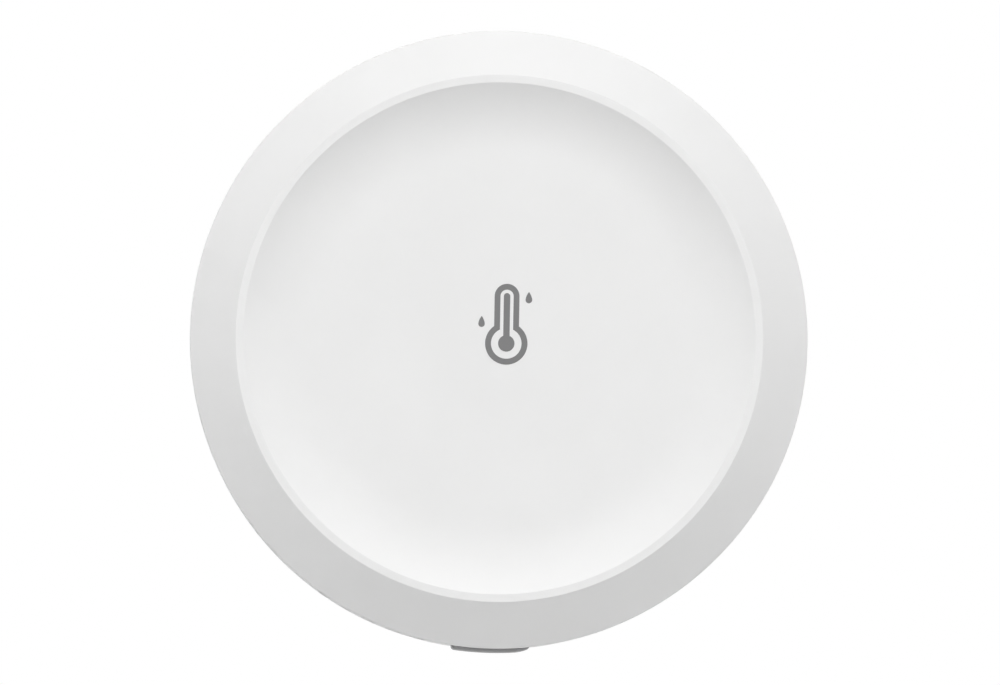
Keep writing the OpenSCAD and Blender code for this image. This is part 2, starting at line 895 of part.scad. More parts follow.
module cell_can() {
    color("silver") upright() rotate_extrude() polygon([
        [0, z_cell],
        [cell_r - edge_break, z_cell],
        [cell_r, z_cell + edge_break],
        [cell_r, z_can_top - edge_break],
        [cell_r - edge_break, z_can_top],
        [gasket_r + skin_gap, z_can_top],
        [gasket_r + skin_gap, z_can_seat],
        [0, z_can_seat]
    ]);
}

module cell_cap() {
    color("silver") upright() rotate_extrude() polygon([
        [0, z_can_seat],
        [cap_r - skin_gap, z_can_seat],
        [cap_r - skin_gap, z_cell_top - edge_break],
        [cap_r - skin_gap - edge_break, z_cell_top],
        [0, z_cell_top]
    ]);
}

module cell_gasket() {
    color("dimgray") upright() ring(cap_r, gasket_r, z_can_seat, z_can_top + cap_rise / 4);
}

adhesive_pad();
rear_cover();
front_cover();
rear_housing();
main_board();
board_screws();
radio_module_board();
radio_shield();
radio_chip();
clock_crystal();
bulk_capacitor();
chip_capacitors();
chip_resistors();
sensor_chip();
status_light();
switch_frame();
switch_shell();
switch_dome();
negative_contact();
positive_contact();
cell_can();
cell_cap();
cell_gasket();
pairing_key();
switch_plunger();
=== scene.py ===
"""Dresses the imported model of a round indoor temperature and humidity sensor.

A white head with a dished face sits on a wall plate, and a grey pairing key stands in its lower side.
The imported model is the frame: every piece made here lies in metres where that model says and rides on
one of its bodies. Pieces are drawn face up in millimetres, with the wall plane at zero height, and are
turned upright at the end.
"""

import logging
import math
from collections.abc import Sequence
from dataclasses import dataclass
from enum import Enum
from functools import cache

import bmesh
import bpy
from mathutils import Matrix, Vector


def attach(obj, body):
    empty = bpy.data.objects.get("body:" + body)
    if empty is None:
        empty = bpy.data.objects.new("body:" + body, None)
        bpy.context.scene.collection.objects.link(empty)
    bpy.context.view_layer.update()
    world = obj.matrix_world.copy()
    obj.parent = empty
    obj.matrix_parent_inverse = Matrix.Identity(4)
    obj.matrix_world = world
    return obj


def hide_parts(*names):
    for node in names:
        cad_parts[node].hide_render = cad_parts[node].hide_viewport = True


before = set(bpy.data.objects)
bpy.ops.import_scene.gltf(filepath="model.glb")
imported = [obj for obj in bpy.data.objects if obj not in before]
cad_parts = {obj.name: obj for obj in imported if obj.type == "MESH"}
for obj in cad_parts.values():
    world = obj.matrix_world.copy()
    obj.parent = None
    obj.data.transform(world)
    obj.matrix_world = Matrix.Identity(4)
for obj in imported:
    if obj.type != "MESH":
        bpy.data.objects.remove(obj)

log = logging.getLogger("sensor")

MM = 0.001
UPRIGHT = Matrix.Rotation(math.pi / 2, 4, "X") @ Matrix.Scale(MM, 4)

# How deep raised marks begin inside the surface that they stand on.
ROOT = 0.02

# Where the rows of chip capacitors and resistors stand on the board.
CHIP_COLUMNS = (-6.11, -1.95, 2.21)
CHIP_ROWS = (-3.928, -6.128)
RESISTOR_COLUMNS = (-4.55, -0.91, 2.73, 6.37)
RESISTOR_ROW = -9.42

Colour = tuple[float, float, float]
Point = tuple[float, float]
# A corner is a radius, a height and, if it is rounded, the rounding's radius.
Corner = tuple[float, ...]
Settings = dict[str, object] | None
Mesh = bpy.types.Mesh
Socket = bpy.types.NodeSocket


class Body(Enum):
    """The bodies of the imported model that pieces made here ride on."""

    PLATE = "wall_plate"
    HEAD = "head"
    KEY = "key"


@dataclass(frozen=True)
class Stack:
    """Heights above the wall, and radii, that several pieces share."""

    back: float = 0.6
    plate: float = 2.0
    cell: float = 2.52
    cell_top: float = 7.52
    floor_top: float = 9.07
    board: float = 9.37
    board_top: float = 10.37
    module_top: float = 10.97
    parts: float = 12.17
    face: float = 12.42
    dish: float = 13.42
    lip: float = 14.4918
    ring: float = 12.4918
    seam: float = 11.0918
    ring_r: float = 20.0
    skirt_r: float = 18.5
    lip_r: float = 17.07
    rim_r: float = 16.57
    flat_r: float = 12.271


STACK = Stack()


class Graph:
    """A node tree whose nodes are fed by keyword."""

    def __init__(self, tree: bpy.types.NodeTree) -> None:
        """Takes a tree over."""
        self.tree = tree

    def feed(self, socket: Socket, value: object) -> None:
        """Links an output to a socket, or sets the socket to a plain value.

        Args:
            socket: The input to feed.
            value: A number, colour, text or output socket.
        """
        if isinstance(value, Socket):
            self.tree.links.new(value, socket)
        else:
            socket.default_value = value

    def node(self, kind: str, settings: Settings = None, *rest: object, **values: object) -> bpy.types.Node:
        """Adds a node.

        Args:
            kind: The node's type name.
            settings: Properties of the node itself.
            rest: Values for its inputs in their order.
            values: Values for its inputs by name, with spaces as underscores.

        Returns:
            The new node.
        """
        made = self.tree.nodes.new(kind)
        for key, value in (settings or {}).items():
            setattr(made, key, value)
        for socket, value in zip(made.inputs, rest):
            self.feed(socket, value)
        for key, value in values.items():
            self.feed(made.inputs[key.replace("_", " ")], value)
        return made

    def out(self, kind: str, settings: Settings = None, *rest: object, **values: object) -> Socket:
        """Adds a node as above and returns its first output."""
        return self.node(kind, settings, *rest, **values).outputs[0]

    def op(self, operation: str, *terms: object) -> Socket:
        """Adds an operation on numbers or sockets and returns its result."""
        return self.out("ShaderNodeMath", {"operation": operation}, *terms)


class Sheet(Graph):
    """A material's node tree with its surface shader in place."""

    def __init__(self, name: str, colour: Colour, roughness: float, **constants: float) -> None:
        """Starts the sheet.

        Args:
            name: The material's name.
            colour: The linear base colour.
            roughness: The roughness that the gloss varies about.
            constants: Values for the shader's own sockets, with spaces as underscores.
        """
        self.material = bpy.data.materials.new(name)
        self.material.use_nodes = True
        super().__init__(self.material.node_tree)
        self.tree.nodes.clear()
        self.colour, self.roughness = colour, roughness
        self.shader = self.node(
            "ShaderNodeBsdfPrincipled", Base_Color=(*colour, 1.0), Roughness=roughness, **constants
        )
        self.output = self.node("ShaderNodeOutputMaterial", Surface=self.shader.outputs["BSDF"])
        self.place = self.node("ShaderNodeTexCoord").outputs["Object"]
        self.material.diffuse_color = (*colour, 1.0)

    def noise(self, size: float, detail: float = 2.0, stretch: Colour = (1.0, 1.0, 1.0)) -> Socket:
        """Lays a noise whose spots are about as large as given.

        Args:
            size: The size of a spot in millimetres.
            detail: Octaves of finer noise.
            stretch: Factors on the three axes; below one draws the noise out.

        Returns:
            The noise value's socket.
        """
        place = self.out("ShaderNodeMapping", Vector=self.place, Scale=stretch)
        return self.out("ShaderNodeTexNoise", Vector=place, Scale=1.0 / (size * MM), Detail=detail)

    def cells(self, size: float) -> Socket:
        """Lays cells of a size in millimetres and returns the distance from their middles."""
        return self.out("ShaderNodeTexVoronoi", Vector=self.place, Scale=1.0 / (size * MM))

    def ramp(self, value: Socket, low: float, high: float, start: float = 0.3, end: float = 0.7) -> Socket:
        """Spreads a value over a range.

        Args:
            value: The socket to spread.
            low: The result where the value is at its start.
            high: The result where it is at its end.
            start: Where the value starts.
            end: Where it ends.

        Returns:
            The result's socket.
        """
        return self.out(
            "ShaderNodeMapRange", Value=value, From_Min=start, From_Max=end, To_Min=low, To_Max=high
        )

    def shade(self, share: Socket, low: float, high: float, lift: float = 0.0) -> None:
        """Varies the base colour.

        Args:
            share: The socket that says where between the two shades a place lies.
            low: The factor on the colour at zero.
            high: The factor at one.
            lift: What is added at one.
        """
        made = self.node("ShaderNodeMix", {"data_type": "RGBA"}, share)
        made.inputs[6].default_value = (*(c * low for c in self.colour), 1.0)
        made.inputs[7].default_value = (*(min(1.0, c * high + lift) for c in self.colour), 1.0)
        self.feed(self.shader.inputs["Base Color"], made.outputs[2])

    def gloss(self, value: Socket, below: float, above: float) -> None:
        """Varies the roughness by a noise, from so far below its own value to so far above."""
        spread = self.ramp(value, self.roughness - below, self.roughness + above)
        self.feed(self.shader.inputs["Roughness"], spread)

    def bump(self, height: Socket, depth: float, strength: float = 1.0) -> None:
        """Raises the surface by a height value.

        Args:
            height: The height's socket, from zero to one.
            depth: The depth in millimetres.
            strength: How strongly it shows.
        """
        before = self.shader.inputs["Normal"]
        made = self.node("ShaderNodeBump", Height=height, Distance=depth * MM, Strength=strength)
        if before.is_linked:
            self.feed(made.inputs["Normal"], before.links[0].from_socket)
        self.feed(before, made.outputs["Normal"])


@dataclass(frozen=True)
class Finish:
    """A surface finish, laid once and shared by all the pieces that have it."""

    name: str
    colour: Colour
    roughness: float

    def material(self) -> bpy.types.Material:
        """Returns the finish's material, made on first use."""
        return bpy.data.materials.get(self.name) or self.lay().material

    def sheet(self, **constants: float) -> Sheet:
        """Starts the finish's sheet with constants for its shader."""
        return Sheet(self.name, self.colour, self.roughness, **constants)

    def lay(self) -> Sheet:
        """Lays the plain surface that every finish starts from."""
        return self.sheet()


@dataclass(frozen=True)
class Moulded(Finish):
    """Moulded plastic with the fine matt grain of an eroded tool."""

    grain: float = 0.09
    depth: float = 0.004
    vary: float = 0.01
    round_off: float = 0.05

    def lay(self) -> Sheet:
        """Lays grain, faint flow shades and softened edges.

        Returns:
            The finished sheet.
        """
        sheet = self.sheet()
        edge = sheet.out("ShaderNodeBevel", {"samples": 4}, Radius=self.round_off * MM)
        sheet.feed(sheet.shader.inputs["Normal"], edge)
        sheet.bump(sheet.noise(self.grain, 1.0), self.depth, 0.6)
        sheet.bump(sheet.noise(self.grain * 14.0), self.depth * 3.0, 0.3)
        sheet.shade(sheet.ramp(sheet.noise(6.0), 0.0, 1.0), 1.0 - self.vary, 1.0 + self.vary)
        sheet.gloss(sheet.noise(0.5), 0.04, 0.04)
        return sheet


@dataclass(frozen=True)
class Printed(Finish):
    """Pad-printed ink: even, thin and a little glossier than the plastic under it."""

    def lay(self) -> Sheet:
        """Lays the ink with its faint orange peel.

        Returns:
            The finished sheet.
        """
        sheet = self.sheet()
        sheet.bump(sheet.noise(0.12), 0.002, 0.6)
        sheet.gloss(sheet.noise(0.3), 0.05, 0.05)
        return sheet


@dataclass(frozen=True)
class Sheeted(Finish):
    """Rolled or plated sheet metal with fine lines along one axis."""

    lines: float = 0.03
    along: Colour = (0.03, 1.0, 1.0)

    def lay(self) -> Sheet:
        """Lays rolling lines, handling marks and a clouded gloss.

        Returns:
            The finished sheet.
        """
        sheet = self.sheet(Metallic=1.0)
        sheet.bump(sheet.noise(self.lines, 3.0, self.along), 0.0015, 0.5)
        sheet.bump(sheet.noise(1.2), 0.01, 0.25)
        cloud = sheet.noise(1.6, 4.0)
        sheet.gloss(cloud, 0.08, 0.1)
        sheet.shade(sheet.ramp(cloud, 0.0, 1.0), 0.86, 1.0)
        return sheet


@dataclass(frozen=True)
class Laminate(Finish):
    """Circuit board laminate under solder mask, with its glass weave."""

    weave: float = 0.45

    def lay(self) -> Sheet:
        """Lays the weave under the mask and the mask's shades.

        Returns:
            The finished sheet.
        """
        sheet = self.sheet(Coat_Weight=0.3, Coat_Roughness=0.15)
        cloth = [
            sheet.node(
                "ShaderNodeTexWave", {"wave_type": "BANDS", "bands_direction": axis},
                Vector=sheet.place, Scale=1.0 / (self.weave * MM * 3.0), Distortion=0.4, Detail=1.0,
            ).outputs["Fac"]
            for axis in ("X", "Z")
        ]
        both = sheet.op("MULTIPLY", *cloth)
        sheet.bump(both, 0.006, 0.5)
        sheet.shade(both, 1.0, 1.5, 0.01)
        sheet.gloss(sheet.noise(0.8), 0.05, 0.08)
        return sheet


@dataclass(frozen=True)
class Cellular(Finish):
    """Foam tape or membrane, full of fine cells."""

    cell: float = 0.22

    def lay(self) -> Sheet:
        """Lays the cells as pits, with painted shade darkening their bottoms.

        Returns:
            The finished sheet.
        """
        sheet = self.sheet(Sheen_Weight=0.1)
        pits_and_painted_shade = sheet.ramp(sheet.cells(self.cell), 0.0, 1.0, 0.1, 0.55)
        sheet.bump(pits_and_painted_shade, 0.05, 0.8)
        # Painted shade: the same pit mask darkens the base colour at the bottom of each pit.
        sheet.shade(pits_and_painted_shade, 0.62, 1.0)
        return sheet


@dataclass(frozen=True)
class Resin(Finish):
    """Milky cast resin."""

    transmission: float = 0.6

    def lay(self) -> Sheet:
        """Lays the resin with faint waves in its surface.

        Returns:
            The finished sheet.
        """
        sheet = self.sheet(Transmission_Weight=self.transmission, IOR=1.5)
        sheet.bump(sheet.noise(0.4), 0.002, 0.3)
        return sheet


@dataclass(frozen=True)
class Tacky(Finish):
    """A glossy film of adhesive with the foam's cells and trapped air showing through."""

    cell: float = 0.35

    def lay(self) -> Sheet:
        """Lays the cells, the patches of air and the uneven gloss.

        Returns:
            The finished sheet.
        """
        sheet = self.sheet(Coat_Weight=0.5, Coat_Roughness=0.12)
        cells, air = sheet.cells(self.cell), sheet.noise(2.4, 5.0)
        sheet.shade(sheet.op("MULTIPLY", cells, sheet.ramp(air, 0.2, 1.6)), 1.0, 1.28, 0.03)
        sheet.bump(cells, 0.03, 0.5)
        sheet.bump(air, 0.08, 0.5)
        sheet.gloss(air, 0.1, 0.15)
        return sheet


WHITE = Moulded("white moulding", (0.80, 0.80, 0.798), 0.68)
PLATE_WHITE = Moulded("white plate moulding", (0.79, 0.79, 0.788), 0.52, depth=0.006)
KEY_GREY = Moulded("grey key moulding", (0.27, 0.27, 0.273), 0.45, grain=0.07)
INK = Printed("grey ink", (0.188, 0.187, 0.189), 0.45)
FOAM = Cellular("foam tape", (0.42, 0.43, 0.44), 0.75)
ADHESIVE = Tacky("adhesive film", (0.44, 0.44, 0.42), 0.28)
MASK = Laminate("green solder mask", (0.012, 0.09, 0.036), 0.35)
MODULE_MASK = Laminate("dark solder mask", (0.008, 0.035, 0.02), 0.32)
TRACE = Laminate("masked copper", (0.035, 0.17, 0.06), 0.3)
MODULE_TRACE = Laminate("masked module copper", (0.022, 0.085, 0.045), 0.28)
BOARD_PRINT = Printed("white board print", (0.80, 0.80, 0.78), 0.5)
BAND = Printed("brown band print", (0.16, 0.05, 0.02), 0.45)
BLACK = Moulded("black epoxy", (0.028, 0.028, 0.03), 0.55, 0.05, 0.003, 0.08, 0.03)
SWITCH_BLACK = Moulded("black switch moulding", (0.035, 0.035, 0.037), 0.5, 0.05, round_off=0.03)
TANTALUM = Moulded("yellow epoxy", (0.62, 0.36, 0.06), 0.4, 0.06, vary=0.05, round_off=0.06)
CERAMIC = Moulded("tan ceramic", (0.42, 0.28, 0.17), 0.45, 0.04, vary=0.06, round_off=0.04)
ALUMINA = Moulded("white ceramic", (0.72, 0.71, 0.68), 0.5, 0.04, vary=0.03, round_off=0.03)
RESISTOR = Moulded("black glaze", (0.03, 0.03, 0.032), 0.3, 0.05, round_off=0.03)
SEAL = Moulded("seal ring", (0.06, 0.06, 0.062), 0.35, 0.1, round_off=0.03)
LENS = Resin("milky resin", (0.86, 0.86, 0.80), 0.2)
MEMBRANE = Cellular("white membrane", (0.80, 0.80, 0.79), 0.7, 0.05)
TIN = Sheeted("tin plate", (0.74, 0.74, 0.73), 0.3)
NICKEL = Sheeted("nickel strip", (0.66, 0.63, 0.58), 0.26)
CAN = Sheeted("cell can", (0.70, 0.69, 0.67), 0.28)
ZINC = Sheeted("zinc plate", (0.60, 0.61, 0.63), 0.32)
GOLD = Sheeted("gold flash", (0.83, 0.62, 0.28), 0.25)
SOLDER = Sheeted("solder", (0.62, 0.62, 0.61), 0.22, 0.2, (1.0, 1.0, 1.0))
ETCH = Sheeted("etched steel", (0.33, 0.32, 0.31), 0.5, 0.08, (1.0, 1.0, 1.0))


def linked(name: str, data: bpy.types.ID) -> bpy.types.Object:
    """Makes an object in the scene.

    Args:
        name: Its name.
        data: Its mesh, curve, camera or light.

    Returns:
        The object.
    """
    made = bpy.data.objects.new(name, data)
    bpy.context.scene.collection.objects.link(made)
    return made


def evaluated(carrier: bpy.types.Object) -> Mesh:
    """Turns an object into a plain mesh.

    Args:
        carrier: The object, which is removed.

    Returns:
        The plain mesh.
    """
    graph = bpy.context.evaluated_depsgraph_get()
    mesh = bpy.data.meshes.new_from_object(carrier.evaluated_get(graph))
    bpy.data.objects.remove(carrier)
    return mesh


def merged(*meshes: Mesh) -> bmesh.types.BMesh:
    """Merges meshes into one working mesh.

    Args:
        meshes: The plain meshes.

    Returns:
        The working mesh.
    """
    whole = bmesh.new()
    for mesh in meshes:
        whole.from_mesh(mesh)
    return whole


def settled(whole: bmesh.types.BMesh, name: str = "shape") -> Mesh:
    """Settles a working mesh.

    Args:
        whole: The working mesh.
        name: The name of the plain one.

    Returns:
        The plain mesh.
    """
    mesh = bpy.data.meshes.new(name)
    whole.to_mesh(mesh)
    whole.free()
    return mesh


SOCKET_KINDS = {int: "Int", float: "Float", type(None): "Object", str: "Material"}


class Recipe(Graph):
    """A geometry node tree with named inputs, run once and turned into a plain mesh."""

    def __init__(self, name: str, **sizes: object) -> None:
        """Starts the tree.

        Args:
            name: The tree's name.
            sizes: The default of each named input; None stands for an object.
        """
        super().__init__(bpy.data.node_groups.new(name, "GeometryNodeTree"))
        add = self.tree.interface.new_socket
        for way in ("INPUT", "OUTPUT"):
            add("Geometry", in_out=way, socket_type="NodeSocketGeometry")
        self.keys: dict[str, str] = {}
        for key, value in (sizes | {"Finish": ""}).items():
            item = add(key, in_out="INPUT", socket_type="NodeSocket" + SOCKET_KINDS[type(value)])
            if value:
                item.default_value = value
            self.keys[key] = item.identifier
        self.given = self.node("NodeGroupInput").outputs

    def end(self, geometry: Socket) -> "Recipe":
        """Ends the tree with its instances made real and its finish set.

        Args:
            geometry: The geometry to end with.

        Returns:
            The recipe itself.
        """
        real = self.out("GeometryNodeRealizeInstances", Geometry=geometry)
        dressed = self.out("GeometryNodeSetMaterial", Geometry=real, Material=self.given["Finish"])
        self.node("NodeGroupOutput", Geometry=dressed)
        return self

    def run(
        self, finish: Finish, points: Sequence[Sequence[float]], edges: Sequence[tuple[int, int]] = (),
        turns: Sequence[float] = (), **sizes: object,
    ) -> Mesh:
        """Runs the tree.

        Args:
            finish: The surface finish.
            points: The points that the tree starts from.
            edges: The edges among them.
            turns: The turn of each point in degrees.
            sizes: The values of the named inputs.

        Returns:
            The result as a plain mesh.
        """
        base = bpy.data.meshes.new("base")
        base.from_pydata(points, edges, [])
        if turns:
            turn = base.attributes.new("turn", "FLOAT", "POINT")
            turn.data.foreach_set("value", [math.radians(a) for a in turns])
        carrier = linked("carrier", base)
        modifier = carrier.modifiers.new("recipe", "NODES")
        modifier.node_group = self.tree
        for key, value in (sizes | {"Finish": finish.material()}).items():
            modifier[self.keys[key]] = value
        return evaluated(carrier)


@cache
def turning_recipe() -> Recipe:
    """Builds the tree that turns a profile of points round the axis.

    Returns:
        The tree.
    """
    recipe = Recipe("turned", Points=2, Segments=192, Weld=0.0004)
    given, op = recipe.given, recipe.op
    count, segments = given["Points"], given["Segments"]
    grid = recipe.out("GeometryNodeMeshGrid", Vertices_X=op("ADD", segments, 1.0), Vertices_Y=count)
    index = recipe.out("GeometryNodeInputIndex")
    step = op("FLOOR", op("DIVIDE", index, count))
    sample = recipe.node(
        "GeometryNodeSampleIndex", {"data_type": "FLOAT_VECTOR", "domain": "POINT"},
        Geometry=given["Geometry"], Index=op("SUBTRACT", index, op("MULTIPLY", step, count)),
    )
    recipe.feed(sample.inputs["Value"], recipe.out("GeometryNodeInputPosition"))
    spot = recipe.node("ShaderNodeSeparateXYZ", Vector=sample.outputs["Value"]).outputs
    angle = op("MULTIPLY", op("DIVIDE", step, segments), math.tau)
    x, y = (op("MULTIPLY", spot["X"], op(way, angle)) for way in ("COSINE", "SINE"))
    place = recipe.out("ShaderNodeCombineXYZ", X=x, Y=y, Z=spot["Z"])
    moved = recipe.out("GeometryNodeSetPosition", Geometry=grid, Position=place)
    welded = recipe.out("GeometryNodeMergeByDistance", Geometry=moved, Distance=given["Weld"])
    return recipe.end(recipe.out("GeometryNodeSetShadeSmooth", Geometry=welded))


@cache
def placing_recipe() -> Recipe:
    """Builds the tree that sets copies of a model on points, each turned by the point's turn.

    Returns:
        The tree.
    """
    recipe = Recipe("placed", Model=None)
    shape = recipe.node("GeometryNodeObjectInfo", Object=recipe.given["Model"]).outputs["Geometry"]
    turn = recipe.out("GeometryNodeInputNamedAttribute", {"data_type": "FLOAT"}, Name="turn")
    euler = recipe.out("ShaderNodeCombineXYZ", Z=turn)
    return recipe.end(recipe.out(
        "GeometryNodeInstanceOnPoints", Points=recipe.given["Geometry"], Instance=shape,
        Rotation=recipe.out("FunctionNodeEulerToRotation", Euler=euler),
    ))


@cache
def sweeping_recipe() -> Recipe:
    """Builds the tree that runs a flat strip along level lines, with rounded bends.

    Returns:
        The tree.
    """
    recipe = Recipe("swept", Width=0.2, Height=0.03, Bend=0.3)
    given = recipe.given
    line = recipe.out("GeometryNodeMeshToCurve", Mesh=given["Geometry"])
    bent = recipe.out(
        "GeometryNodeFilletCurve", {"mode": "POLY"},
        Curve=line, Count=3, Radius=given["Bend"], Limit_Radius=True,
    )
    level = recipe.out("GeometryNodeSetCurveNormal", {"mode": "Z_UP"}, Curve=bent)
    strip = recipe.out(
        "GeometryNodeCurvePrimitiveQuadrilateral", Width=given["Width"], Height=given["Height"]
    )
    return recipe.end(recipe.out(
        "GeometryNodeCurveToMesh", Curve=level, Profile_Curve=strip, Fill_Caps=True
    ))


@cache
def threading_recipe() -> Recipe:
    """Builds the tree that winds a screw thread upwards from each point.

    Returns:
        The tree.
    """
    recipe = Recipe("threaded", Radius=0.7, Turns=7.0, Length=3.0, Ridge=0.12)
    given = recipe.given
    coil = recipe.out(
        "GeometryNodeCurveSpiral", Resolution=24, Rotations=given["Turns"],
        Start_Radius=given["Radius"], End_Radius=given["Radius"], Height=given["Length"],
    )
    section = recipe.out(
        "GeometryNodeCurvePrimitiveCircle", {"mode": "RADIUS"}, Resolution=4, Radius=given["Ridge"]
    )
    thread = recipe.out("GeometryNodeCurveToMesh", Curve=coil, Profile_Curve=section, Fill_Caps=True)
    return recipe.end(recipe.out(
        "GeometryNodeInstanceOnPoints", Points=given["Geometry"], Instance=thread
    ))


@dataclass(frozen=True)
class Piece:
    """A visible piece of one finish, and the ways to make its meshes."""

    name: str
    finish: Finish
    slot: str
    body: Body = Body.HEAD
    stands_in: bool = False

    def turned(self, corners: Sequence[Corner], segments: int, steps: int = 4) -> Mesh:
        """Turns a profile round the axis.

        Args:
            corners: The profile's corners, as rounded takes them.
            segments: Steps round the axis.
            steps: Points along each rounding.

        Returns:
            The turned mesh.
        """
        points = [(r, 0.0, h) for r, h in rounded(corners, steps)]
        return turning_recipe().run(self.finish, points, Points=len(points), Segments=segments)

    def placed(self, places: Sequence[Sequence[float]], *models: Mesh) -> Mesh:
        """Sets copies of a model.

        Args:
            places: X and Y of each copy and, if it is turned, its turn in degrees.
            models: The model's meshes.

        Returns:
            All the copies as one mesh.
        """
        points = [(x, y, 0.0) for x, y, *_ in places]
        turns = [sum(turn) for _, _, *turn in places]
        carrier = bpy.data.objects.new("model", settled(merged(*models)))
        mesh = placing_recipe().run(self.finish, points, turns=turns, Model=carrier)
        bpy.data.objects.remove(carrier)
        return mesh

    def swept(
        self, lines: Sequence[Sequence[Point]], level: float, width: float, height: float, bend: float,
        loop: bool = False,
    ) -> Mesh:
        """Runs a flat strip along level lines.

        Args:
            lines: The points of each line.
            level: The height of the strip's underside.
            width: Its width.
            height: Its thickness.
            bend: The radius of its bends.
            loop: Whether each line runs back to its start.

        Returns:
            All the strips as one mesh.
        """
        points: list[tuple[float, float, float]] = []
        edges: list[tuple[int, int]] = []
        for line in lines:
            first = len(points)
            points += [(x, y, level + height / 2) for x, y in line]
            edges += [(i, i + 1) for i in range(first, len(points) - 1)]
            edges += [(len(points) - 1, first)] * loop
        return sweeping_recipe().run(self.finish, points, edges, Width=width, Height=height, Bend=bend)

    def hand_over(self, *meshes: Mesh) -> None:
        """Joins meshes to the piece, turns it upright, gives it its finish and body, and hides its slot's CAD
        node if it stands in for it.

        Args:
            meshes: Its meshes, drawn face up in millimetres.
        """
        whole = merged(*meshes)
        bmesh.ops.transform(whole, matrix=UPRIGHT, verts=whole.verts)
        bmesh.ops.recalc_face_normals(whole, faces=whole.faces)
        mesh = settled(whole, self.name)
        mesh.materials.append(self.finish.material())
        mesh.polygons.foreach_set("material_index", [0] * len(mesh.polygons))
        piece = linked(self.name, mesh)
        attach(piece, self.body.value)
        if self.stands_in:
            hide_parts(self.slot)
        log.info("%s: %d faces on %s", self.name, len(mesh.polygons), self.body.value)


def rounded(corners: Sequence[Corner], steps: int) -> list[Point]:
    """Rounds the corners of an open profile.

    Args:
        corners: Radius and height of each corner and, if it is rounded, the rounding's radius.
        steps: Points along each rounding.

    Returns:
        The profile's points, with a support point on both sides of each rounding.
    """
    places = [Vector(corner[:2]) for corner in corners]
    points: list[Point] = []
    for i, (here, corner) in enumerate(zip(places, corners)):
        if len(corner) < 3:
            points.append(tuple(here))
            continue
        ways = [places[i - 1] - here, places[i + 1] - here]
        half = ways[0].angle(ways[1]) / 2
        reach = min(corner[2] / math.tan(half), *(0.45 * way.length for way in ways))
        radius = reach * math.tan(half)
        middle = sum((way.normalized() for way in ways), Vector((0.0, 0.0))).normalized()
        centre = here + middle * (radius / math.sin(half))
        first, last = (here + way.normalized() * reach - centre for way in ways)
        sweep = first.angle_signed(last)
        arms = [centre + Matrix.Rotation(-sweep * k / steps, 2) @ first for k in range(steps + 1)]
        ends = [
            here + way.normalized() * (reach + min(0.5 * radius, 0.2 * way.length)) for way in ways
        ]
        points += [tuple(place) for place in (ends[0], *arms, ends[1])]
    return points


def prism(outlines: Sequence[Sequence[Point]], low: float, high: float) -> Mesh:
    """Raises a flat figure with holes to a thin prism.

    Args:
        outlines: Closed outlines, the holes among them.
        low: Its lower height in millimetres.
        high: Its upper height in millimetres.

    Returns:
        The prism's mesh.
    """
    curve = bpy.data.curves.new("outline", "CURVE")
    curve.dimensions = "2D"
    curve.fill_mode = "BOTH"
    for outline in outlines:
        spline = curve.splines.new("POLY")
        spline.points.add(len(outline) - 1)
        spline.points.foreach_set("co", [c for x, y in outline for c in (x, y, 0.0, 1.0)])
        spline.use_cyclic_u = True
    curve.extrude = (high - low) / 2
    mesh = evaluated(linked("outline", curve))
    mesh.transform(Matrix.Translation((0.0, 0.0, (high + low) / 2)))
    whole = merged(mesh)
    bmesh.ops.remove_doubles(whole, verts=whole.verts, dist=1e-5)
    return settled(whole)


def lofted(rows: Sequence[Sequence[Sequence[float]]], round_about: bool = False) -> Mesh:
    """Skins closed rows of points.

    Args:
        rows: The rows, with as many points each.
        round_about: Whether the last row meets the first again; if not, both ends are capped.

    Returns:
        The skin's mesh.
    """
    whole = bmesh.new()
    rings = [[whole.verts.new(place) for place in row] for row in rows]
    for first, second in zip(rings, rings[1:] + rings[:1] * round_about):
        for i in range(len(first)):
            whole.faces.new((first[i - 1], first[i], second[i], second[i - 1]))
    if not round_about:
        for ring in (rings[0], rings[-1][::-1]):
            whole.faces.new(ring)
    return settled(whole)


def arc(centre: Point, radius: float, start: float, end: float, steps: int = 32) -> list[Point]:
    """Samples an arc.

    Args:
        centre: Its centre.
        radius: Its radius.
        start: Its first angle in degrees.
        end: Its last angle in degrees.
        steps: Steps along it.

    Returns:
        Its points, both ends among them.
    """
    arms = [spot(start + (end - start) * k / steps, radius) for k in range(steps + 1)]
    return [(centre[0] + x, centre[1] + y) for x, y in arms]


def spot(angle: float, radius: float) -> Point:
    """Returns the point at an angle in degrees and a radius."""
    return (radius * math.cos(math.radians(angle)), radius * math.sin(math.radians(angle)))


def rounded_rect(centre: Point, width: float, length: float, corner: float) -> list[Point]:
    """Draws a rectangle with rounded corners.

    Args:
        centre: Its centre.
        width: Its size along X.
        length: Its size along Y.
        corner: The radius of its corners.

    Returns:
        The outline's points.
    """
    points: list[Point] = []
    for k, (sx, sy) in enumerate(((1, 1), (-1, 1), (-1, -1), (1, -1))):
        middle = (centre[0] + sx * (width / 2 - corner), centre[1] + sy * (length / 2 - corner))
        points += arc(middle, corner, 90.0 * k, 90.0 * (k + 1), 5)
    return points


def plus(centre: Point, reach: float, width: float) -> list[Point]:
    """Draws a plus sign.

    Args:
        centre: Its centre.
        reach: How far its arms reach.
        width: Their width.

    Returns:
        The outline's points.
    """
    points: list[Point] = []
    quarter = [(reach, -width / 2), (reach, width / 2), (width / 2, width / 2)]
    for _ in range(4):
        points += quarter
        quarter = [(-y, x) for x, y in quarter]
    return [(centre[0] + x, centre[1] + y) for x, y in points]


def turned_by(points: Sequence[Point], angle: float, shift: Point = (0.0, 0.0)) -> list[Point]:
    """Turns points about the origin, after a shift.

    Args:
        points: The points.
        angle: The turn in degrees.
        shift: What is added to the points first.

    Returns:
        The turned points.
    """
    c, s = spot(angle, 1.0)
    moved = [(x + shift[0], y + shift[1]) for x, y in points]
    return [(x * c - y * s, x * s + y * c) for x, y in moved]


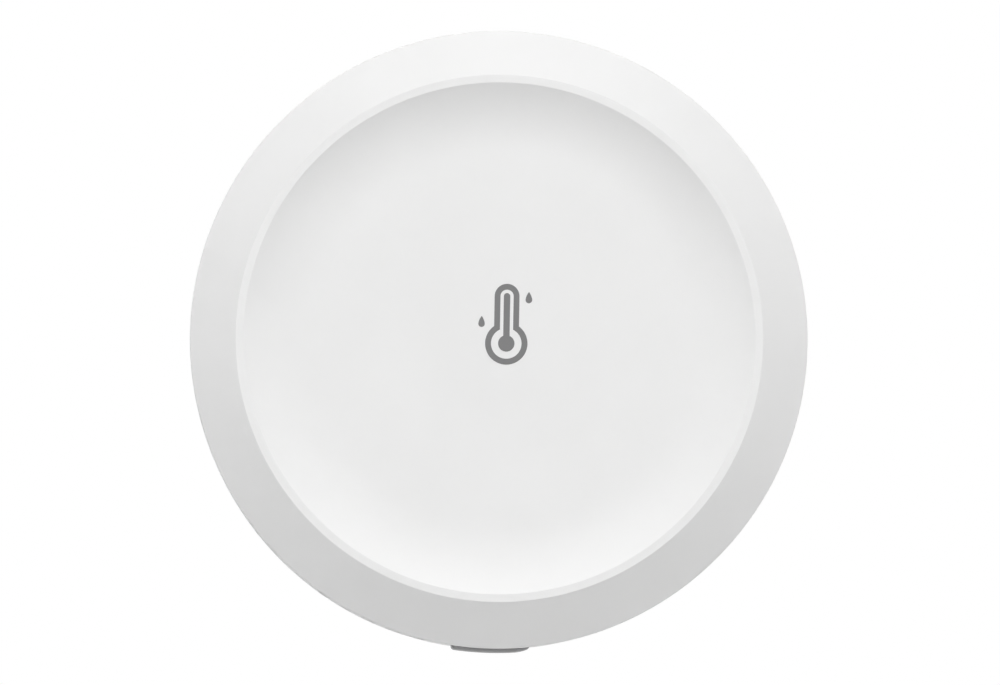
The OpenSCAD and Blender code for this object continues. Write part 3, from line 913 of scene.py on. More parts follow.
def soft_box(low: Sequence[float], high: Sequence[float], edge: float, steps: int = 2) -> Mesh:
    """Makes a block between two corners with its edges rounded off.

    Args:
        low: Its lowest corner.
        high: Its highest corner.
        edge: The width of the roundings.
        steps: Steps across each rounding.

    Returns:
        The block's mesh.
    """
    middle = [(a + b) / 2 for a, b in zip(low, high)]
    size = [b - a for a, b in zip(low, high)]
    whole = bmesh.new()
    bmesh.ops.create_cube(
        whole, size=1.0, matrix=Matrix.Translation(middle) @ Matrix.Diagonal((*size, 1.0))
    )
    bmesh.ops.bevel(whole, geom=whole.edges[:], offset=edge, segments=steps, profile=0.5, affect="EDGES")
    return settled(whole)


def fillet(reach: float, height: float, width: float, shift: float = 0.0) -> Mesh:
    """Makes a solder fillet that slopes down along X in a hollow curve.

    Args:
        reach: How far its foot reaches.
        height: How high it climbs.
        width: Its width along Y.
        shift: The X of its back.

    Returns:
        The fillet, with its foot at zero height.
    """
    slope = [(reach * (1.0 - k / 6) ** 2, height * (k / 6) ** 2) for k in range(7)]
    mesh = prism([[(-0.05, 0.0), *slope, (-0.05, height)]], -width / 2, width / 2)
    mesh.transform(Matrix.Translation((shift, 0.0, 0.0)) @ Matrix.Rotation(math.pi / 2, 4, "X"))
    return mesh


def levelled(model: Mesh, level: float, way: float) -> Mesh:
    """Stands a model on a level, or hangs it there if its way is minus one, and returns it."""
    model.transform(Matrix.Translation((0.0, 0.0, level)) @ Matrix.Diagonal((1.0, 1.0, way, 1.0)))
    return model


def hung_fillet(reach: float, height: float, width: float, shift: float = 0.0) -> Mesh:
    """Makes a fillet as above that hangs under the board."""
    return levelled(fillet(reach, height, width, shift), STACK.board, -1.0)


def eyelet(root: float, tip: float, inner: float = 0.15, outer: float = 0.34) -> list[Point]:
    """Draws the section of a via's ring.

    Args:
        root: The height where it stands or hangs.
        tip: The height that it reaches.
        inner: The ring's inner radius.
        outer: Its outer radius.

    Returns:
        The closed section.
    """
    edge = tip + math.copysign(0.01, root - tip)
    return [
        (inner, root), (outer, root), (outer, edge), (outer - 0.03, tip), (inner + 0.02, tip),
        (inner, edge), (inner, root),
    ]


def curved_block(
    half: float, inner: float, outer: float, low: float, high: float, edge: float, cut: float = 0.0
) -> Mesh:
    """Makes a soft block below the axis, with its inner and outer faces on circles round it.

    Args:
        half: Half its width.
        inner: The radius of its inner face.
        outer: The radius of its outer face.
        low: Its lower height.
        high: Its upper height.
        edge: The width of its edges' roundings.
        cut: How far the last millimetre of its right end is rounded back.

    Returns:
        The block's mesh.
    """
    whole = merged(soft_box((-half, inner, low), (half, outer, high), edge, 4))
    support = 1.7 * edge
    across = [half * (k / 8 - 1.0) for k in range(1, 16)] + [support - half, half - support]
    cuts = [((x, 0.0, 0.0), (1.0, 0.0, 0.0)) for x in across]
    cuts += [((0.0, 0.0, z), (0.0, 0.0, 1.0)) for z in (low + support, high - support)]
    for place, normal in cuts:
        geometry = whole.verts[:] + whole.edges[:] + whole.faces[:]
        bmesh.ops.bisect_plane(whole, geom=geometry, dist=1e-5, plane_co=place, plane_no=normal)
    for v in whole.verts:
        back = cut * max(0.0, v.co.x - half + 1.0) ** 2
        v.co.y = back - math.sqrt(v.co.y**2 - v.co.x**2)
    mesh = settled(whole)
    mesh.shade_smooth()
    return mesh


@dataclass
class FaceCover:
    """The front moulding: bevel ring, lip, dished face, snap tabs and board posts."""

    dish_radius: float = 9.156
    dish_slope: float = 28.0
    dish_steps: int = 18
    face_thickness: float = 1.0
    edge_break: float = 0.25
    ring_edge: float = 0.05
    lip_edge: float = 0.06
    inner_edge: float = 0.3
    tab_outer_r: float = 18.3
    tab_thickness: float = 1.0
    tab_half_angle: float = 11.0
    tab_edge: float = 0.15
    tab_angles: tuple[float, ...] = (20.0, 90.0, 160.0, 215.0, 325.0)
    bead_height: float = 0.35
    bead_share: float = 0.56
    post_r: float = 0.9
    post_place_r: float = 15.0
    post_angles: tuple[float, ...] = (100.0, 215.0, 345.0)

    def section(self) -> list[Corner]:
        """Draws the section of the shell.

        Returns:
            The corners of its closed profile.
        """
        s, r, soft = STACK, self.dish_radius, self.inner_edge
        wall = s.ring_r - s.skirt_r
        slope = (s.lip - s.ring) / (s.ring_r - s.lip_r)
        drop = wall * math.sqrt(1.0 + slope * slope)
        shoulder = s.lip - self.face_thickness - self.edge_break
        shoulder_r = s.ring_r - (shoulder - s.ring + drop) / slope
        turns = [math.radians(self.dish_slope * k / self.dish_steps) for k in range(self.dish_steps)]
        return [
            (0.0, s.dish), (s.flat_r - 0.4, s.dish),
            *((s.flat_r + r * math.sin(a), s.dish + r * (1.0 - math.cos(a))) for a in turns),
            (s.rim_r, s.lip, self.lip_edge), (s.lip_r, s.lip, self.lip_edge),
            (s.ring_r, s.ring, self.ring_edge), (s.ring_r, s.seam, 0.08),
            (s.skirt_r, s.seam, 0.1), (s.skirt_r, s.ring - drop + wall * slope, soft),
            (shoulder_r, shoulder, soft), (s.rim_r - (s.rim_r - s.flat_r) / 4, shoulder, soft),
            (s.flat_r + self.edge_break, s.face, soft), (0.0, s.face),
        ]

    def tab(self) -> Mesh:
        """Makes one snap tab with its bead, centred on the X axis.

        Returns:
            The tab's mesh.
        """
        s, outer, edge, steps = STACK, self.tab_outer_r, self.tab_edge, 12
        inner, low, bead = outer - self.tab_thickness, s.floor_top + 0.1, s.floor_top + 0.55
        high = s.ring + 0.4 * (s.lip - s.ring)
        chain = [
            (inner, low + edge), (inner + edge, low), (outer - edge, low), (outer, low + edge),
            (outer, bead - 0.3), (outer + self.bead_height, bead), (outer, bead + 0.5),
            (outer, high), (inner, high),
        ]
        rows = []
        for k in range(steps + 1):
            share = 2.0 * k / steps - 1.0
            reach = outer + self.bead_height * (abs(share) <= self.bead_share)
            rows.append([(*spot(self.tab_half_angle * share, min(r, reach)), h) for r, h in chain])
        return lofted(rows)

    def build(self) -> None:
        """Makes the cover as one piece in place of its CAD node."""
        s, r = STACK, self.post_r
        cover = Piece("front_cover_moulding", WHITE, "front_cover", stands_in=True)
        post = cover.turned([
            (0.0, s.board_top), (r, s.board_top, 0.15), (r, s.face - 0.2), (r + 0.3, s.face),
            (r + 0.3, s.face + 0.1), (0.0, s.face + 0.1),
        ], 32)
        cover.hand_over(
            cover.turned(self.section(), 288),
            cover.placed([spot(a, self.post_place_r) for a in self.post_angles], post),
            cover.placed([(0.0, 0.0, a) for a in self.tab_angles], self.tab()),
        )


@dataclass
class FaceSign:
    """The grey thermometer and droplets printed on the face."""

    bulb: Point = (0.463, -0.286)
    turn: float = 0.37
    tube_length: float = 3.057
    # The radii of the bulb and of the tube: outside, of the hole and of the core.
    outline: Point = (1.373, 0.803)
    hole: Point = (0.991, 0.4275)
    core: Point = (0.531, 0.207)
    # What droplet takes for each.
    left_drop: tuple[float, float, float, float] = (-1.622, 1.248, 0.2075, 0.725)
    right_drop: tuple[float, float, float, float] = (1.415, 2.840, 0.2137, 0.738)
    ink: float = 0.012
    root: float = 0.02

    def keyhole(self, bulb_r: float, tube_r: float) -> list[Point]:
        """Draws a bulb with a round-ended tube on it.

        Args:
            bulb_r: The bulb's radius.
            tube_r: The tube's radius.

        Returns:
            The outline's points.
        """
        x, y = self.bulb
        neck = math.degrees(math.asin(tube_r / bulb_r))
        bowl = arc(self.bulb, bulb_r, 90.0 + neck, 450.0 - neck, 72)
        return bowl + arc((x, y + self.tube_length), tube_r, 0.0, 180.0)

    def droplet(self, right: float, up: float, radius: float, height: float) -> list[Point]:
        """Draws a droplet with its tip up.

        Args:
            right: How far to the right of the bulb it is.
            up: How far above the bulb.
            radius: The radius of its bowl.
            height: Its whole height.

        Returns:
            The outline's points.
        """
        x, y, top = self.bulb[0] + right, self.bulb[1] + up, height - radius
        wide, low = spot(15.0, radius)
        shares = [k / 10 for k in range(1, 10)]
        side = [(x + wide * (1.0 - t**1.6), y + low + (top - low) * t) for t in shares]
        bowl = arc((x, y), radius, 165.0, 375.0)
        return bowl + side + [(x, y + top)] + [(2.0 * x - a, b) for a, b in reversed(side)]

    def build(self) -> None:
        """Prints the sign as one thin piece of ink."""
        outlines = [self.keyhole(*radii) for radii in (self.outline, self.hole, self.core)]
        outlines += [self.droplet(*drop) for drop in (self.left_drop, self.right_drop)]
        mesh = prism(outlines, STACK.dish - self.root, STACK.dish + self.ink)
        mesh.transform(Matrix.Rotation(math.radians(self.turn), 4, "Z"))
        Piece("printed_sign", INK, "front_cover").hand_over(mesh)


@dataclass
class Inside:
    """The CAD nodes that keep their own shape, each with its finish."""

    finishes: tuple[tuple[str, Finish], ...] = (
        ("rear_cover", PLATE_WHITE), ("rear_housing", WHITE), ("main_board", MASK),
        ("board_screws", ZINC), ("radio_module_board", MODULE_MASK), ("radio_chip", BLACK),
        ("sensor_chip", BLACK), ("switch_frame", SWITCH_BLACK), ("switch_shell", TIN),
        ("switch_dome", NICKEL), ("switch_plunger", SWITCH_BLACK), ("negative_contact", NICKEL),
        ("positive_contact", NICKEL),
    )

    def build(self) -> None:
        """Dresses the nodes."""
        for node, finish in self.finishes:
            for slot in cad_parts[node].material_slots:
                slot.material = finish.material()
            log.info("%s: dressed in %s", node, finish.name)


@dataclass
class WallPlate:
    """The wall plate's raised marks and the foam tape on its back."""

    mark_height: float = 0.22
    mark_r: float = 14.6
    locked_angle: float = 50.0
    open_angle: float = 70.0
    open_turn: float = 32.0
    arrow_start: float = 100.0
    arrow_end: float = 128.0
    arrow_half: float = 0.3
    arrow_head: float = 0.85
    arrow_tip: float = 5.5
    top_r: float = 16.2
    top_angle: float = 3.5
    pin_angles: tuple[float, ...] = (160.0, 215.0, 270.0, 325.0)
    pin_r: float = 1.1
    tape_r: float = 11.0
    tape_top: float = 1.0
    film: float = 0.05

    def padlock(self, angle: float, shackle_turn: float) -> list[list[list[Point]]]:
        """Draws a padlock.

        Args:
            angle: Its place round the plate.
            shackle_turn: How far its shackle is swung open, in degrees.

        Returns:
            The outlines of its case with the keyhole, and those of its shackle.
        """
        hinge, seat = 0.39, 0.45
        legs = [(0.5, 0.0), *arc((0.0, 0.55), 0.5, 0.0, 180.0, 12), (-0.5, 0.0)]
        legs += [(-0.28, 0.0), *arc((0.0, 0.55), 0.28, 180.0, 0.0, 12), (0.28, 0.0)]
        shackle = [(x - hinge, y + seat) for x, y in turned_by(legs, shackle_turn, (hinge, 0.0))]
        case = rounded_rect((0.0, -0.1), 1.6, 1.1, 0.15)
        keyhole = arc((0.0, -0.1), 0.16, 0.0, 345.0, 15)
        return [
            [turned_by(line, angle - 90.0, (0.0, self.mark_r)) for line in lines]
            for lines in ((case, keyhole), (shackle,))
        ]

    def figures(self) -> list[list[list[Point]]]:
        """Draws the padlocks, the arrow that shows which way the head turns off, and the top's mark.

        Returns:
            The outlines of each figure.
        """
        start, end, r = self.arrow_start, self.arrow_end, self.mark_r
        arrow = [
            *arc((0.0, 0.0), r + self.arrow_half, start, end, 20),
            spot(end, r + self.arrow_head), spot(end + self.arrow_tip, r), spot(end, r - self.arrow_head),
            *reversed(arc((0.0, 0.0), r - self.arrow_half, start, end, 20)),
        ]
        foot = [spot(90.0 + a, self.top_r - 1.0) for a in (-self.top_angle, self.top_angle)]
        top = [spot(90.0, self.top_r), *foot]
        padlocks = self.padlock(self.locked_angle, 0.0) + self.padlock(self.open_angle, self.open_turn)
        return [*padlocks, [arrow], [top]]

    def build(self) -> None:
        """Makes the marks, the tape and the film of adhesive on it."""
        s, r = STACK, self.pin_r
        low, high = s.back - self.mark_height, s.back + ROOT
        marks = Piece("plate_marks", PLATE_WHITE, "rear_cover", Body.PLATE)
        pin = marks.turned([
            (r, high), (r, high - 0.07, 0.02), (r - 0.12, high - 0.07, 0.02), (r - 0.2, high), (r, high),
        ], 40, 2)
        marks.hand_over(
            *(prism(figure, low, high) for figure in self.figures()),
            prism([plus((0.0, 0.0), 1.3, 0.6)], s.plate - ROOT, s.plate + 0.15),
            marks.placed([spot(a, self.mark_r) for a in self.pin_angles], pin),
        )
        r, film, top = self.tape_r, self.film, self.tape_top
        foam = Piece("foam_tape", FOAM, "adhesive_pad", Body.PLATE, True)
        foam.hand_over(foam.turned([
            (0.0, film), (r - 0.12, film, 0.04), (r - 0.02, 0.3, 0.2), (r, 0.6, 0.1),
            (r - 0.08, top, 0.04), (0.0, top),
        ], 160))
        skin = Piece("adhesive_film", ADHESIVE, "adhesive_pad", Body.PLATE)
        skin.hand_over(skin.turned([
            (0.0, 0.0), (r - 0.2, 0.0, 0.02), (r - 0.14, film, 0.01), (0.0, film),
        ], 160, 2))


@dataclass
class Housing:
    """The marks on the rear housing and the pairing key in its side."""

    key_half: float = 2.57
    key_r: float = 20.183
    key_low: float = 6.87
    key_high: float = 10.07
    key_edge: float = 0.2
    key_cut: float = 0.19
    flange: float = 0.65
    flange_edge: float = 0.08
    flange_out_r: float = 18.3
    flange_in_r: float = 17.7
    stem_half: float = 0.925
    stem_r: float = 16.785
    stem_low: float = 7.894
    stem_high: float = 9.046
    pointer_angle: float = 50.0
    pointer_r: float = 17.5
    pointer: float = 1.1
    dot_angles: tuple[float, ...] = (38.0, 62.0)
    dot_r: float = 0.22
    mark_height: float = 0.2

    def key(self) -> list[Mesh]:
        """Makes the key: its cap, the flange that holds it and the stem that presses the switch.

        Returns:
            The three meshes.
        """
        inner, outer, wide = self.flange_in_r, self.flange_out_r, self.flange
        low, high, edge = self.key_low, self.key_high, self.flange_edge
        stem = (-self.stem_half, 0.3 - outer, self.stem_low), (self.stem_half, -self.stem_r, self.stem_high)
        return [
            curved_block(self.key_half, inner, self.key_r, low, high, self.key_edge, self.key_cut),
            curved_block(self.key_half + wide, inner, outer, low - wide, high + wide, edge),
            soft_box(*stem, edge),
        ]

    def build(self) -> None:
        """Makes the pointer that meets the plate's padlocks, and the key."""
        side, r = self.pointer, self.pointer_r
        tip = [(0.0, 0.0), (side, -0.5 * side), (side, 0.5 * side)]
        lines = [turned_by(tip, self.pointer_angle, (r, 0.0))]
        lines += [arc(spot(a, r + 0.5), self.dot_r, 0.0, 345.0, 23) for a in self.dot_angles]
        low, high = STACK.back - self.mark_height, STACK.back + ROOT
        Piece("housing_marks", WHITE, "rear_housing").hand_over(*(prism([line], low, high) for line in lines))
        Piece("key_moulding", KEY_GREY, "pairing_key", Body.KEY, True).hand_over(*self.key())


@dataclass
class ChipPart:
    """Small parts soldered to the board: a body between two metal ends, with a fillet at each end."""

    name: str
    node: str
    places: Sequence[Sequence[float]]
    finish: Finish
    ends: Finish = TIN
    top: Finish | None = None
    band: Finish | None = None
    top_height: float = 0.1
    length: float = 1.6
    width: float = 0.8
    height: float = 0.8
    end_length: float = 0.36
    end_width: float = 0.8
    end_height: float = 0.8
    solder_reach: float = 0.32
    edge: float = 0.05
    under: bool = False

    def put(self, suffix: str, finish: Finish, *models: Mesh) -> None:
        """Sets a model at each place, on the board's face or under it, and hands it over.

        Args:
            suffix: What the piece is called after the part's name.
            finish: The surface finish.
            models: The model's meshes, standing on zero height.
        """
        level, way = (STACK.board, -1.0) if self.under else (STACK.board_top, 1.0)
        piece = Piece(f"{self.name}_{suffix}", finish, self.node, stands_in=suffix == "bodies")
        piece.hand_over(piece.placed(self.places, *(levelled(model, level, way) for model in models)))

    def build(self) -> None:
        """Makes the bodies, the metal ends, the tops and the solder."""
        half, side, end = self.length / 2, self.width / 2, self.end_width / 2
        top = self.height - (self.top_height if self.top else 0.0)
        inner, proud, reach = half, 0.0, half + 0.04
        if self.end_height >= self.height:
            inner, proud, reach = half - 0.8 * self.end_length, 0.02, half
        body = soft_box((-inner, proud - side, 0.0), (inner, side - proud, top - proud), self.edge)
        self.put("bodies", self.finish, body)
        if self.top:
            low, high = (0.02 - inner, 0.05 - side, top - 0.03), (inner - 0.02, side - 0.05, self.height)
            self.put("tops", self.top, soft_box(low, high, 0.03))
        if self.band:
            low, high = (inner - 0.75, 0.16 - side, top - 0.02), (inner - 0.25, side - 0.16, top + 0.012)
            self.put("band", self.band, soft_box(low, high, 0.01))
        self.put("ends", self.ends, *(
            soft_box((x, -end, 0.0), (x + self.end_length, end, self.end_height), min(self.edge, 0.05))
            for x in (-reach, reach - self.end_length)
        ))
        foot = fillet(self.solder_reach, 0.6 * self.end_height, 0.94 * self.end_width, reach)
        other = foot.copy()
        other.transform(Matrix.Rotation(math.pi, 4, "Z"))
        self.put("solder", SOLDER, foot, other)


@dataclass
class Module:
    """The radio module's plated half holes, antenna and perforated shield can."""

    centre: Point = (-0.65, 3.172)
    left: float = -7.15
    right: float = 5.85
    first_hole: float = -1.158
    hole_pitch: float = 1.27
    hole_count: int = 7
    hole_r: float = 0.3
    pad_r: float = 0.52
    antenna_left: float = -6.4
    antenna_foot: float = 8.3
    antenna_low: float = 9.6
    antenna_high: float = 12.9
    antenna_pitch: float = 1.1
    antenna_width: float = 0.42
    print_height: float = 0.02
    dot: Point = (5.1, -2.03)
    dot_r: float = 0.16
    shield_w: float = 11.4
    shield_l: float = 9.6
    shield_corner: float = 0.6
    shield_rim: float = 0.5
    sheet: float = 0.15
    bend: float = 0.3
    vent_r: float = 0.28
    vent_pitch: float = 1.5

    def plating(self) -> list[Mesh]:
        """Makes one half hole's pad and barrel.

        Returns:
            The two meshes.
        """
        s, middle, top = STACK, (0.0, 0.0), STACK.module_top + self.print_height
        rings = (
            (self.pad_r, self.hole_r, s.module_top - 0.01),
            (self.hole_r + 0.01, self.hole_r - 0.03, s.board_top),
        )
        return [
            prism([arc(middle, outer, -90.0, 90.0, 14) + arc(middle, inner, 90.0, -90.0, 14)], low, top)
            for outer, inner, low in rings
        ]

    def antenna(self) -> list[list[Point]]:
        """Draws the antenna's meander and its short to ground.

        Returns:
            The two lines.
        """
        x, foot, low, high = self.antenna_left, self.antenna_foot, self.antenna_low, self.antenna_high
        line = [(x, foot), (x, high)]
        for k in range(1, 11):
            line += [(x + self.antenna_pitch * k, y) for y in ((high, low) if k % 2 else (low, high))]
        return [line, [(x + self.antenna_pitch, low), (x + self.antenna_pitch, foot)]]

    def shield(self) -> list[Mesh]:
        """Makes the bent walls of the can and its lid with a field of vent holes.

        Returns:
            The two meshes.
        """
        s, bend, sheet, rim = STACK, self.bend, self.sheet, self.shield_rim
        under = s.parts - sheet
        section = [
            (0.0, s.module_top),
            *(
                (bend * (1.0 - math.cos(a)), s.parts - bend * (1.0 - math.sin(a)))
                for a in map(math.radians, (0, 22, 45, 68, 90))
            ),
            (rim, s.parts), (rim, under), (sheet, under), (sheet, s.module_top),
        ]
        walls = lofted([
            [
                (x, y, height) for x, y in rounded_rect(
                    self.centre, self.shield_w - 2 * inset, self.shield_l - 2 * inset,
                    max(self.shield_corner - inset, 0.04),
                )
            ]
            for inset, height in section
        ], True)
        x, y, pitch = *self.centre, self.vent_pitch
        vents = [
            arc((x + i * pitch, y + j * pitch), self.vent_r, 0.0, 337.5, 15)
            for i in (-2, -1, 0, 1, 2) for j in (-1.5, -0.5, 0.5, 1.5)
        ]
        lid = rounded_rect(self.centre, self.shield_w - 2 * rim, self.shield_l - 2 * rim, 0.1)
        return [walls, prism([lid, *vents], under, s.parts)]

    def build(self) -> None:
        """Makes the plating, its solder, the antenna and the shield."""
        s = STACK
        ups = [self.first_hole + i * self.hole_pitch for i in range(self.hole_count)]
        holes = [(x, y, turn) for x, turn in ((self.left, 0.0), (self.right, 180.0)) for y in ups]
        plating = Piece("module_plating", GOLD, "radio_module_board")
        plating.hand_over(plating.placed(holes, *self.plating()))
        solder = Piece("module_solder", SOLDER, "main_board")
        cone = solder.turned([
            (0.0, s.board_top), (0.6, s.board_top), (0.34, s.board_top + 0.12, 0.1),
            (0.25, s.module_top - 0.15, 0.1), (0.0, s.module_top - 0.06),
        ], 20)
        solder.hand_over(solder.placed(holes, cone))
        antenna = Piece("module_antenna", MODULE_TRACE, "radio_module_board")
        low, high = s.module_top, s.module_top + self.print_height
        antenna.hand_over(antenna.swept(self.antenna(), low, self.antenna_width, high - low, 0.2))
        dot = prism([arc(self.dot, self.dot_r, 0.0, 345.0, 15)], low - 0.01, high)
        Piece("module_dot", BOARD_PRINT, "radio_module_board").hand_over(dot)
        Piece("shield_can", TIN, "radio_shield", stands_in=True).hand_over(*self.shield())


@dataclass
class Board:
    """What is on the main board: tracks, vias, print, screw lands and the screws' threads."""

    track: float = 0.22
    track_height: float = 0.018
    print_line: float = 0.12
    print_height: float = 0.035
    screw_r: float = 14.95
    screw_angles: tuple[float, ...] = (54.63, 180.0, 318.0)
    thread_r: float = 0.74
    thread_low: float = 6.55
    thread_length: float = 2.6
    thread_pitch: float = 0.45
    land_in: float = 1.0
    land_out: float = 1.85
    stitch_r: float = 16.35
    kept_clear: tuple[Point, ...] = (
        (54.6, 9.0), (180.0, 9.0), (318.0, 9.0), (100.0, 6.0), (215.0, 6.0), (345.0, 6.0),
        (0.0, 5.0), (126.0, 5.0), (246.0, 11.0), (293.0, 6.0), (270.0, 15.0),
    )
    loose_vias: tuple[Point, ...] = ((10.9, 3.6), (10.6, 7.2), (11.6, 5.4))

    def routes(self) -> list[list[Point]]:
        """Draws the tracks on the face that end in a via.

        Returns:
            Their lines.
        """
        return [
            [(-7.4, -1.158), (-8.9, -1.158), (-10.2, -2.458), (-10.2, -8.0), (-11.0, -8.8)],
            [(-7.4, 0.112), (-9.6, 0.112), (-11.2, -1.488), (-11.2, -5.2)],
            [(-7.4, 1.382), (-10.4, 1.382), (-12.2, -0.418), (-12.2, -4.0)],
            [(-7.4, 2.652), (-10.4, 2.652), (-12.0, 4.252), (-12.0, 7.5)],
            [(-7.4, 3.922), (-9.8, 3.922), (-11.0, 5.122), (-11.0, 9.0)],
            [(-7.4, 5.192), (-9.1, 5.192), (-10.0, 6.092), (-10.0, 10.2)],
            [(-7.4, 6.462), (-8.4, 6.462), (-9.0, 7.062), (-9.0, 11.2)],
            [(6.1, 1.382), (10.6, 1.382), (12.2, -0.218), (12.2, -4.5)],
            [(6.1, 2.652), (11.2, 2.652), (13.0, 0.852), (13.0, -1.2)],
            [(6.1, 6.462), (6.5, 6.862), (6.5, 9.6), (7.2, 10.3)],
            [(10.3, -1.158), (11.3, -1.158), (11.3, -6.6), (8.7, -9.2), (8.7, -9.42)],
            [(-7.1, -3.928), (-7.9, -3.928), (-8.9, -4.928), (-8.9, -7.3)],
            [(3.2, -3.928), (4.6, -3.928), (5.4, -4.728), (5.4, -7.2)],
            [(-5.5, -9.42), (-7.2, -9.42), (-8.9, -11.12), (-8.9, -12.0)],
            [(-2.73, -9.42), (-2.73, -11.0), (-2.0, -11.73)],
            [(0.9, -9.42), (0.9, -11.2), (1.8, -12.1), (1.8, -12.7)],
            [(4.55, -9.42), (4.55, -11.0), (5.6, -12.05)],
        ]

    def links(self) -> list[list[Point]]:
        """Draws the tracks that run from one part on the face to the next.

        Returns:
            Their lines.
        """
        return [
            [(6.1, -1.158), (6.7, -1.158)],
            [(6.1, 3.922), (6.9, 3.922), (7.2, 3.622), (8.4, 3.622)],
            [(6.1, 5.192), (6.8, 5.192), (7.1, 5.492), (7.1, 7.2), (7.5, 7.6), (8.4, 7.6)],
            [(-7.1, CHIP_ROWS[1]), (-8.9, CHIP_ROWS[1])],
            [(3.2, CHIP_ROWS[1]), (5.4, CHIP_ROWS[1])],
            [(7.3, RESISTOR_ROW), (8.7, RESISTOR_ROW)],
            *([(x + 1.06, y), (x + 3.06, y)] for x in CHIP_COLUMNS[:2] for y in CHIP_ROWS),
            *([(x + 0.95, RESISTOR_ROW), (x + 2.75, RESISTOR_ROW)] for x in RESISTOR_COLUMNS[:3]),
        ]

    def vias(self) -> list[Point]:
        """Returns the places of the vias where tracks change sides, and of the loose ones."""
        return [*(line[-1] for line in self.routes()), *self.loose_vias]

    def stitches(self) -> list[Point]:
        """Spreads vias round the edge where there is room.

        Returns:
            Their places.
        """
        return [
            spot(a, self.stitch_r) for a in range(0, 360, 6)
            if all(abs((a - b + 180.0) % 360.0 - 180.0) > room for b, room in self.kept_clear)
        ]

    def prints(self, piece: Piece) -> list[Mesh]:
        """Prints the outlines round the parts, with their polarity marks.

        Args:
            piece: The piece that they become.

        Returns:
            The closed lines, the open ones and the sign.
        """
        low = STACK.board_top - 0.01
        boxes = [(x, y, 2.9, 1.5) for x in CHIP_COLUMNS for y in CHIP_ROWS]
        boxes += [(x, RESISTOR_ROW, 2.9, 1.5) for x in RESISTOR_COLUMNS]
        boxes += [(8.4, 5.572, 2.3, 4.7), (8.4, -1.028, 5.0, 3.4)]
        frames = [
            [(x + a * w / 2, y + b * h / 2) for a, b in ((-1, -1), (1, -1), (1, 1), (-1, 1))]
            for x, y, w, h in boxes
        ]
        corners = [
            [(x, y + 0.9 * b), (x, y), (x + 0.9 * a, y)]
            for x, y, a, b in ((-7.75, -2.95, 1, 1), (6.45, -2.95, -1, 1))
        ]
        switch = [(-2.9, -16.2), (-2.9, -13.6), (2.9, -13.6), (2.9, -16.2)]
        size = (low, self.print_line, self.print_height)
        return [
            piece.swept(frames, *size, 0.15, True), piece.swept([switch, *corners], *size, 0.1),
            prism([plus((11.6, -2.2), 0.4, 0.14)], low, low + self.print_height),
        ]

    def build(self) -> None:
        """Makes everything on the board's face, and the threads below it."""
        top = STACK.board_top
        tracks = Piece("board_tracks", TRACE, "main_board")
        lines = self.routes() + self.links()
        tracks.hand_over(tracks.swept(lines, top, self.track, self.track_height, 0.35))
        low, high, inner, outer = top - 0.01, top + 0.03, self.land_in, self.land_out
        screws = [spot(a, self.screw_r) for a in self.screw_angles]
        lands = Piece("board_lands", GOLD, "main_board")
        land = [
            (inner, low), (outer, low), (outer, high - 0.01), (outer - 0.03, high), (inner, high),
            (inner, low),
        ]
        lands.hand_over(
            lands.placed(self.vias() + self.stitches(), lands.turned(eyelet(low, high), 16)),
            lands.placed(screws, lands.turned(land, 48)),
        )
        prints = Piece("board_print", BOARD_PRINT, "main_board")
        prints.hand_over(*self.prints(prints))
        Piece("screw_threads", ZINC, "board_screws").hand_over(threading_recipe().run(
            ZINC, [(x, y, self.thread_low) for x, y in screws], Radius=self.thread_r,
            Turns=self.thread_length / self.thread_pitch, Length=self.thread_length,
        ))


@dataclass
class CoinCell:
    """The battery: a crimped can, a stamped cap, the seal between them and the pole's sign."""

    can_r: float = 12.25
    cap_r: float = 10.78
    seal_in: float = 10.8
    seal_out: float = 11.4
    seat: float = 6.12
    can_top: float = 7.12
    seal_top: float = 7.22
    step_r: float = 10.3
    step: float = 0.07

    def build(self) -> None:
        """Makes the can, the cap, the seal and the etched plus sign."""
        low, high, seat, groove = STACK.cell, STACK.cell_top, self.seat, self.cap_r - 1.6
        gap, inner, outer = self.seal_out + 0.02, self.seal_in, self.seal_out
        can = [
            (0.0, low), (self.step_r, low, 0.3), (self.step_r + 0.35, low + self.step, 0.3),
            (self.can_r, low + self.step, 0.5), (self.can_r, self.can_top, 0.45),
            (gap, self.can_top - 0.05, 0.1), (gap, seat), (0.0, seat),
        ]
        cap = [
            (0.0, seat), (self.cap_r, seat), (self.cap_r, high, 0.4), (groove + 0.4, high, 0.1),
            (groove + 0.25, high - 0.06, 0.1), (groove - 0.25, high - 0.06, 0.1),
            (groove - 0.4, high, 0.1), (0.0, high),
        ]
        seal = [
            (inner, seat), (inner, self.seal_top, 0.1), (outer, self.seal_top, 0.15), (outer, seat),
            (inner, seat),
        ]
        for name, node, corners, finish in (
            ("cell_shell", "cell_can", can, CAN), ("cell_lid", "cell_cap", cap, CAN),
            ("cell_seal", "cell_gasket", seal, SEAL),
        ):
            piece = Piece(name, finish, node, stands_in=True)
            piece.hand_over(piece.turned(corners, 160))
        sign = prism([plus((0.0, 6.2), 1.4, 0.5)], low - 0.015, low + ROOT)
        Piece("cell_sign", ETCH, "cell_can").hand_over(sign)


